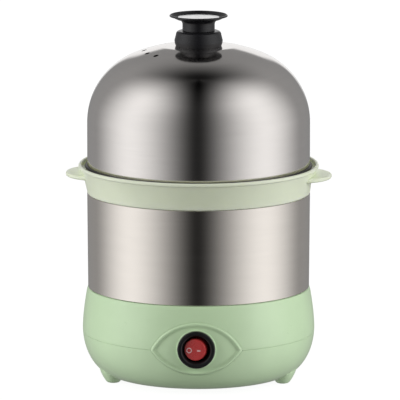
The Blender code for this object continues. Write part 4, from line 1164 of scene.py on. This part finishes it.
def make_world():
    """Soft studio light: two tall panels at the sides, dark in front and above, grey behind."""
    world = bpy.data.worlds.new("studio")
    bpy.context.scene.world = world
    world.use_nodes = True
    tree = world.node_tree
    background = tree.nodes["Background"]
    direction = add_node(tree, "ShaderNodeTexCoord").outputs["Generated"]
    split = add_node(tree, "ShaderNodeSeparateXYZ", {"Vector": direction})
    x, y, z = (split.outputs[axis] for axis in ("X", "Y", "Z"))
    behind = math_node(tree, "MULTIPLY", y, -1.0)
    azimuth = math_node(tree, "ARCTAN2", x, behind)
    around = math_node(tree, "DIVIDE", math_node(tree, "ABSOLUTE", azimuth), math.pi)
    rise = math_node(tree, "DIVIDE", math_node(tree, "ARCSINE", z), math.pi)
    height = math_node(tree, "ADD", rise, 0.5)
    panels = light_by_angle(tree, around, height, panel_levels, panel_heights)
    rear = light_by_angle(tree, around, height, backdrop_levels, backdrop_heights)
    panels = add_node(
        tree, "ShaderNodeMix", {"Factor": 1.0, 6: panels, 7: rear}, data_type="RGBA", blend_type="ADD"
    ).outputs[2]
    camera_ray = add_node(tree, "ShaderNodeLightPath").outputs["Is Camera Ray"]
    seen = add_node(
        tree, "ShaderNodeMix", {"Factor": camera_ray, 6: panels, 7: (1.0, 1.0, 1.0, 1.0)}, data_type="RGBA"
    ).outputs[2]
    tree.links.new(seen, background.inputs["Color"])
    background.inputs["Strength"].default_value = 1.0


def light_by_angle(tree, around, height, levels, heights):
    """Brightness by the angle from the front, times brightness by the angle over the horizon."""
    sideways = ramp_node(tree, around, [(angle / 180.0, value) for angle, value in levels])
    upward = ramp_node(tree, height, [(0.5 + angle / 180.0, value) for angle, value in heights])
    factors = {"Factor": 1.0, 6: sideways, 7: upward}
    mixed = add_node(tree, "ShaderNodeMix", factors, data_type="RGBA", blend_type="MULTIPLY")
    return mixed.outputs[2]


def make_area_light(name, location, size, power):
    """A square light turned to the object, for the plastics and the dark parts only."""
    light = bpy.data.lights.new(name, "AREA")
    light.size = size
    light.energy = power
    obj = link(bpy.data.objects.new(name, light))
    obj.location = location
    target = Vector((0.0, 0.0, camera_target_height))
    obj.rotation_euler = (target - obj.location).to_track_quat("-Z", "Y").to_euler()
    obj.visible_glossy = False
    obj.visible_camera = False


def make_lights():
    azimuth = math.radians(side_light_azimuth)
    elevation = math.radians(side_light_elevation)
    reach = side_light_distance * math.cos(elevation)
    height = camera_target_height + side_light_distance * math.sin(elevation)
    for name, side in (("left_light", -1), ("right_light", 1)):
        location = (side * reach * math.sin(azimuth), -reach * math.cos(azimuth), height)
        make_area_light(name, location, side_light_size, side_light_power)
    make_area_light("top_light", (0.0, 0.0, top_light_height), side_light_size, top_light_power)
    rear = (0.0, side_light_distance, rear_light_height)
    make_area_light("rear_light", rear, side_light_size, rear_light_power)


def make_camera():
    camera = bpy.data.cameras.new("camera")
    camera.sensor_width = camera_sensor
    camera.lens = camera_lens
    camera.shift_x = camera_shift_x
    camera.shift_y = camera_shift_y
    camera.clip_end = 10 * camera_distance
    obj = link(bpy.data.objects.new("camera", camera))
    azimuth = math.radians(camera_azimuth)
    elevation = math.radians(camera_elevation)
    away = Vector(
        (
            math.sin(azimuth) * math.cos(elevation),
            -math.cos(azimuth) * math.cos(elevation),
            math.sin(elevation),
        )
    )
    target = Vector((0.0, 0.0, camera_target_height))
    obj.location = target + away * camera_distance
    obj.rotation_euler = (-away).to_track_quat("-Z", "Y").to_euler()
    bpy.context.scene.camera = obj


make_upper_shell()
make_lower_shell()
make_switch_panel()
make_switch_housing()
make_rocker()
make_gland()
make_dish()
make_ring()
make_rack()
make_tray()
make_dome()
make_collar()
make_grip()
dress_small_nodes()
make_floor()
make_world()
make_lights()
make_camera()
bpy.context.scene.view_settings.view_transform = "Standard"
